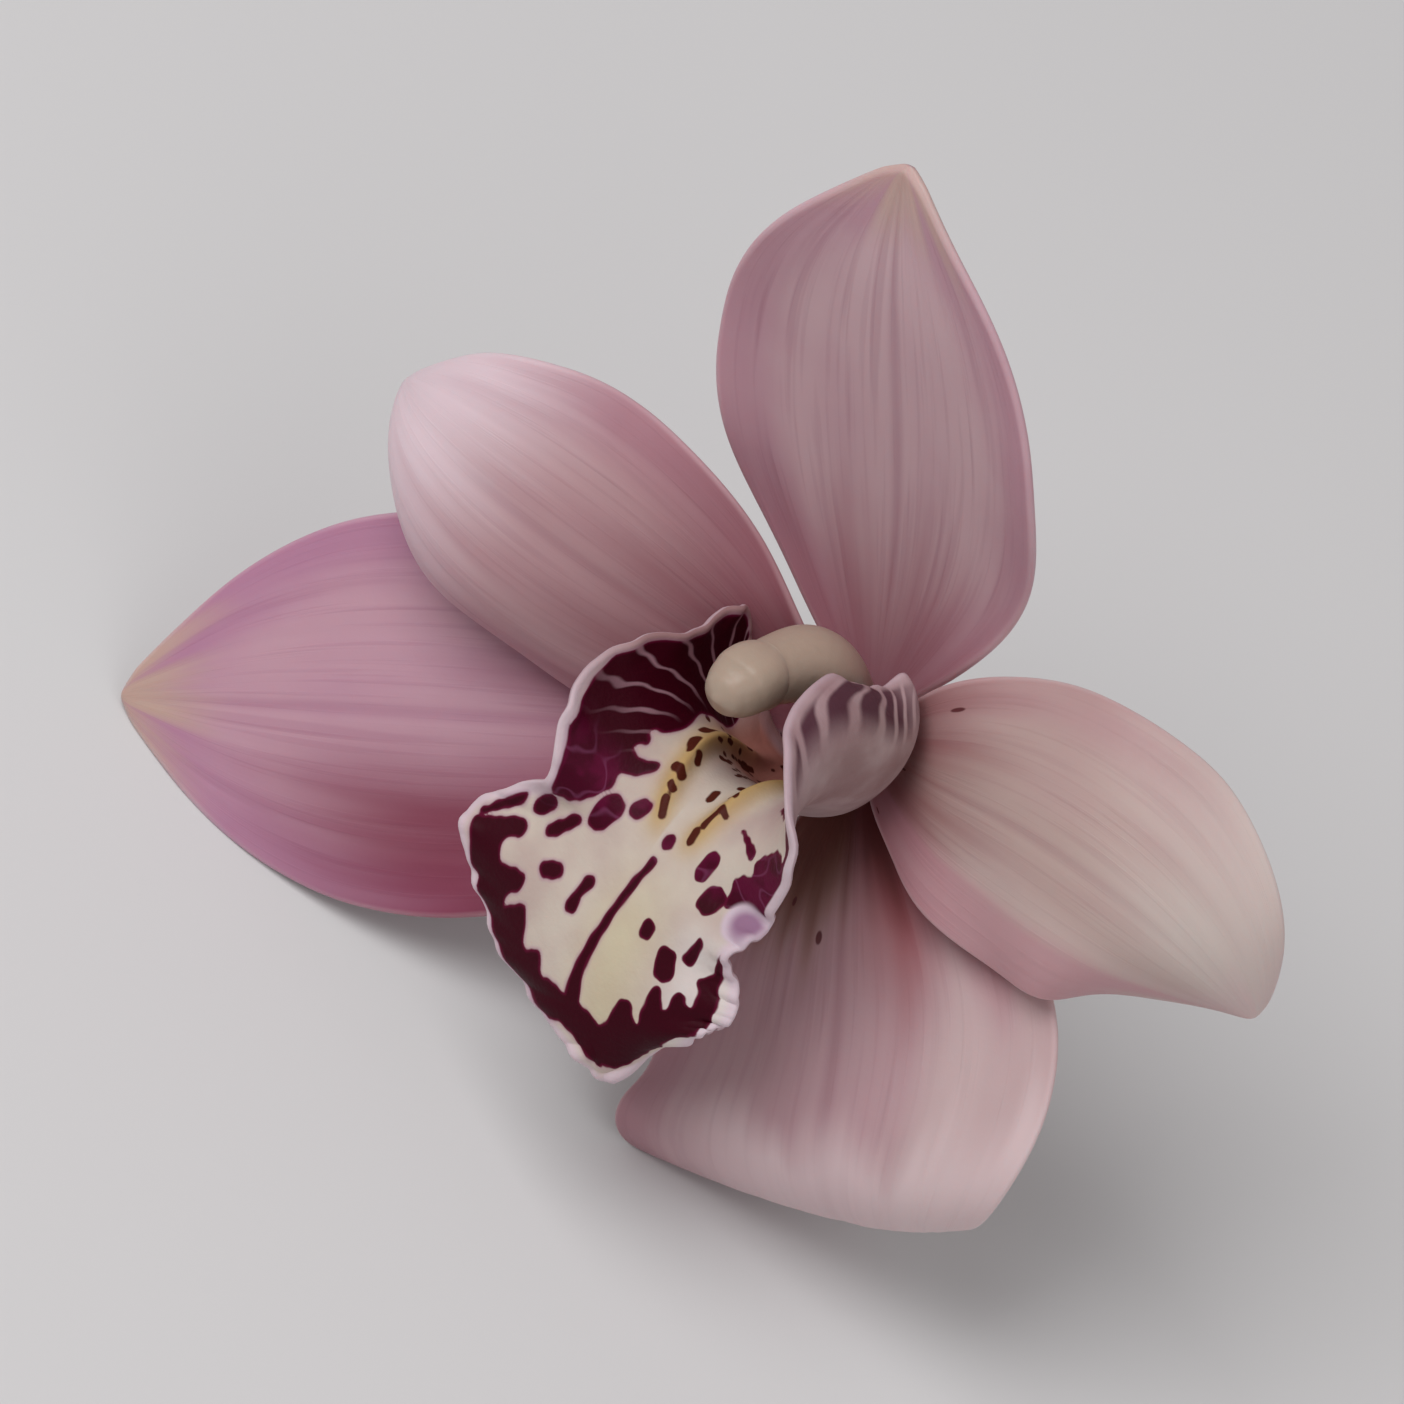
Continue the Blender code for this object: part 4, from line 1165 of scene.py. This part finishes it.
def lip_finish():
    """The front's finish and the back's, chosen by the stored side, on one waxy skin."""
    finish = Finish("spotted lip", **{**WAXY, "Subsurface_Weight": 0.1, "Subsurface_Scale": 0.0008,
                                      "Specular_IOR_Level": 0.09})
    clouds = finish.noise(0.006, 3.0)
    tone = finish.mix(finish.mark("front"), lip_back(finish, clouds), lip_front(finish, clouds))
    finish.use("Base Color", tone)
    grain = finish.noise(0.0004, 2.0)
    finish.use("Roughness", 0.42 + grain * 0.16)
    finish.bump(grain * 0.4 + finish.noise(0.0025, 2.0) * 0.6, 0.0002, 0.5)
    return finish.material


lip.data.materials.append(lip_finish())
print("the lip's finish has", len(lip.data.materials[0].node_tree.nodes), "nodes")


# %% [markdown]
# ## Column, cap and stalk finishes
# The column is ivory above, darkened by painted shade, and flushed pink with fine red specks below. The
# cap is the same shaded ivory without the specks, with painted shade underneath. The stalk is olive green
# clouded with brown, with a pinkish collar and a paler cut.

# %% Small finishes
def column_finish(name, above, foot, below, speck_share):
    """One tone along the top, another towards the foot, and a tone underneath, a pink flush on the column
    and painted shade on the cap, with specks where noise peaks."""
    finish = Finish(name, **WAXY)
    under, along = finish.mark("under"), finish.mark("along")
    tone = finish.mix(finish.step(along, 0.85, 0.4), above, foot)
    underside = finish.step(under + (1 - along) * 0.3, 0.1, 0.7)
    tone = finish.mix(underside, tone, below)
    peaks = finish.noise(0.0007, 0.0)
    tone = finish.mix(finish.step(peaks, 0.57, 0.63) * underside * speck_share, tone, colour(136, 40, 46))
    finish.use("Base Color", tone)
    finish.use("Roughness", 0.3 + finish.noise(0.002) * 0.15)
    finish.bump(finish.noise(0.0008), 0.0001, 0.5)
    return finish.material


def stalk_finish():
    """Olive green, clouded brown, with the cut end paler."""
    finish = Finish("olive stalk", Subsurface_Weight=0.1, Subsurface_Radius=(0.6, 1.0, 0.3),
                    Subsurface_Scale=0.001, Specular_IOR_Level=0.4)
    along = finish.mark("along")
    clouds = finish.step(finish.noise(0.004, 4.0), 0.3, 0.75)
    tone = finish.mix(clouds, colour(112, 116, 48), colour(128, 112, 58))
    tone = finish.mix(finish.step(along, 0.14, 0.0) * 0.8, tone, colour(176, 140, 120))
    tone = finish.mix(finish.step(along, 0.994, 0.998), tone, colour(176, 176, 120))
    finish.use("Base Color", tone)
    finish.use("Roughness", 0.38 + finish.noise(0.001) * 0.2)
    finish.bump(finish.noise(0.0009, 4.0), 0.00015, 0.7)
    return finish.material


# Ivory darkened by painted shade, as where the petals above shade the column and the cap.
SHADED_IVORY = colour(172, 152, 136)
PINK_BELOW = colour(176, 114, 102)
column.data.materials.append(column_finish("ivory column", SHADED_IVORY, colour(152, 120, 110), PINK_BELOW, 1))
# The cap's darker tone underneath is painted shade.
cap.data.materials.append(column_finish("ivory cap", SHADED_IVORY, SHADED_IVORY, colour(158, 132, 116), 0))
stalk.data.materials.append(stalk_finish())
print("finished:", ", ".join(piece.name for piece in (column, cap, stalk)))


# %% [markdown]
# ## Table
# The bloom lies on a plain pale table, which isn't part of the flower.

# %% Table
def make_table():
    """A wide plain square at zero height."""
    half = 1.5
    corners = [(-half, -half, 0), (half, -half, 0), (half, half, 0), (-half, half, 0)]
    mesh = bpy.data.meshes.new("table")
    mesh.from_pydata(corners, [], [(0, 1, 2, 3)])
    finish = Finish("pale table", Roughness=0.7, Specular_IOR_Level=0.2)
    finish.use("Base Color", colour(214, 212, 213))
    mesh.materials.append(finish.material)
    table = bpy.data.objects.new("table", mesh)
    bpy.context.scene.collection.objects.link(table)
    print("the table is", 2 * half, "m wide")


make_table()


# %% [markdown]
# ## Camera
# The camera looks into the face from its right and a little above, turned so that the top sepal leans
# to the right of upright. Because the flower lies down, that is a view from above. A long lens from far
# away keeps the near petals from looking too large.

# %% Camera
VIEW_YAW, VIEW_PITCH, VIEW_ROLL = 27.0, 14.0, 30.0   # degrees, in the flower's own frame
VIEW_DISTANCE = 0.7
FRAME_WIDTH = 0.124              # metres of the flower's plane that the picture takes in
SENSOR = 36.0                    # millimetres
LOOK_AT = np.array([-12.1, -7.3, -4.1]) * MM           # in the flower's frame


def view_axes():
    """The picture's right, up and towards the camera, in the flower's frame, then turned to the table's."""
    yaw, pitch, roll = np.radians([VIEW_YAW, VIEW_PITCH, VIEW_ROLL])
    back = np.array([np.sin(yaw) * np.cos(pitch), -np.cos(yaw) * np.cos(pitch), np.sin(pitch)])
    level_up = np.array([0, 0, 1.0]) - back * back[2]
    level_up /= np.linalg.norm(level_up)
    level_right = np.cross(level_up, back)
    up = np.cos(roll) * level_up - np.sin(roll) * level_right
    right = np.cos(roll) * level_right + np.sin(roll) * level_up
    return TURN @ right, TURN @ up, TURN @ back


def make_camera():
    """A long lens along the view, square to the picture."""
    right, up, back = view_axes()
    place = TURN @ LOOK_AT + COLUMN_FOOT + back * VIEW_DISTANCE
    camera = bpy.data.objects.new("camera", bpy.data.cameras.new("camera"))
    camera.data.sensor_width = SENSOR
    camera.data.lens = SENSOR * VIEW_DISTANCE / FRAME_WIDTH
    turn = Matrix(np.stack([right, up, back], axis=1).tolist()).to_4x4()
    camera.matrix_world = Matrix.Translation(place.tolist()) @ turn
    bpy.context.scene.collection.objects.link(camera)
    bpy.context.scene.camera = camera
    print("camera looks down at", round(float(np.degrees(np.arcsin(back[2]))), 1), "degrees")
    return right, up, back


picture_right, picture_up, picture_back = make_camera()


# %% [markdown]
# ## Light
# One large soft light stands above and to the left of the picture, a weaker and larger one fills its
# shadows from the right, and a pale room gives the rest. Both lights are placed by the picture's own
# directions.

# %% Light
ROOM_LIGHT = 0.32                # strength of the pale room


def add_light(name, direction, distance, size, power):
    """A square soft light at a distance along a direction, aimed at the bloom."""
    lamp = bpy.data.lights.new(name, "AREA")
    lamp.size = size
    lamp.energy = power
    light = bpy.data.objects.new(name, lamp)
    aim = np.array([0, 0, 0.03])
    direction = direction / np.linalg.norm(direction)
    side = np.cross([0, 1.0, 0.1], direction)
    side /= np.linalg.norm(side)
    turn = Matrix(np.stack([side, np.cross(direction, side), direction], axis=1).tolist()).to_4x4()
    light.matrix_world = Matrix.Translation((aim + direction * distance).tolist()) @ turn
    bpy.context.scene.collection.objects.link(light)


add_light("key", picture_up * 0.6 - picture_right * 0.2 + picture_back * 0.8,
          distance=0.9, size=0.6, power=5.3)
add_light("fill", picture_back + picture_right * 0.6 - picture_up * 0.3,
          distance=1.2, size=0.9, power=2.3)
world = bpy.data.worlds.new("soft room")
world.use_nodes = True
background = world.node_tree.nodes["Background"]
background.inputs["Color"].default_value = (1, 0.995, 0.99, 1)
background.inputs["Strength"].default_value = ROOM_LIGHT
bpy.context.scene.world = world
bpy.context.scene.view_settings.view_transform = "Standard"
print("lights:", ", ".join(lamp.name for lamp in bpy.data.lights))


# %% [markdown]
# The dressed bloom must keep to the box of the plain solids.
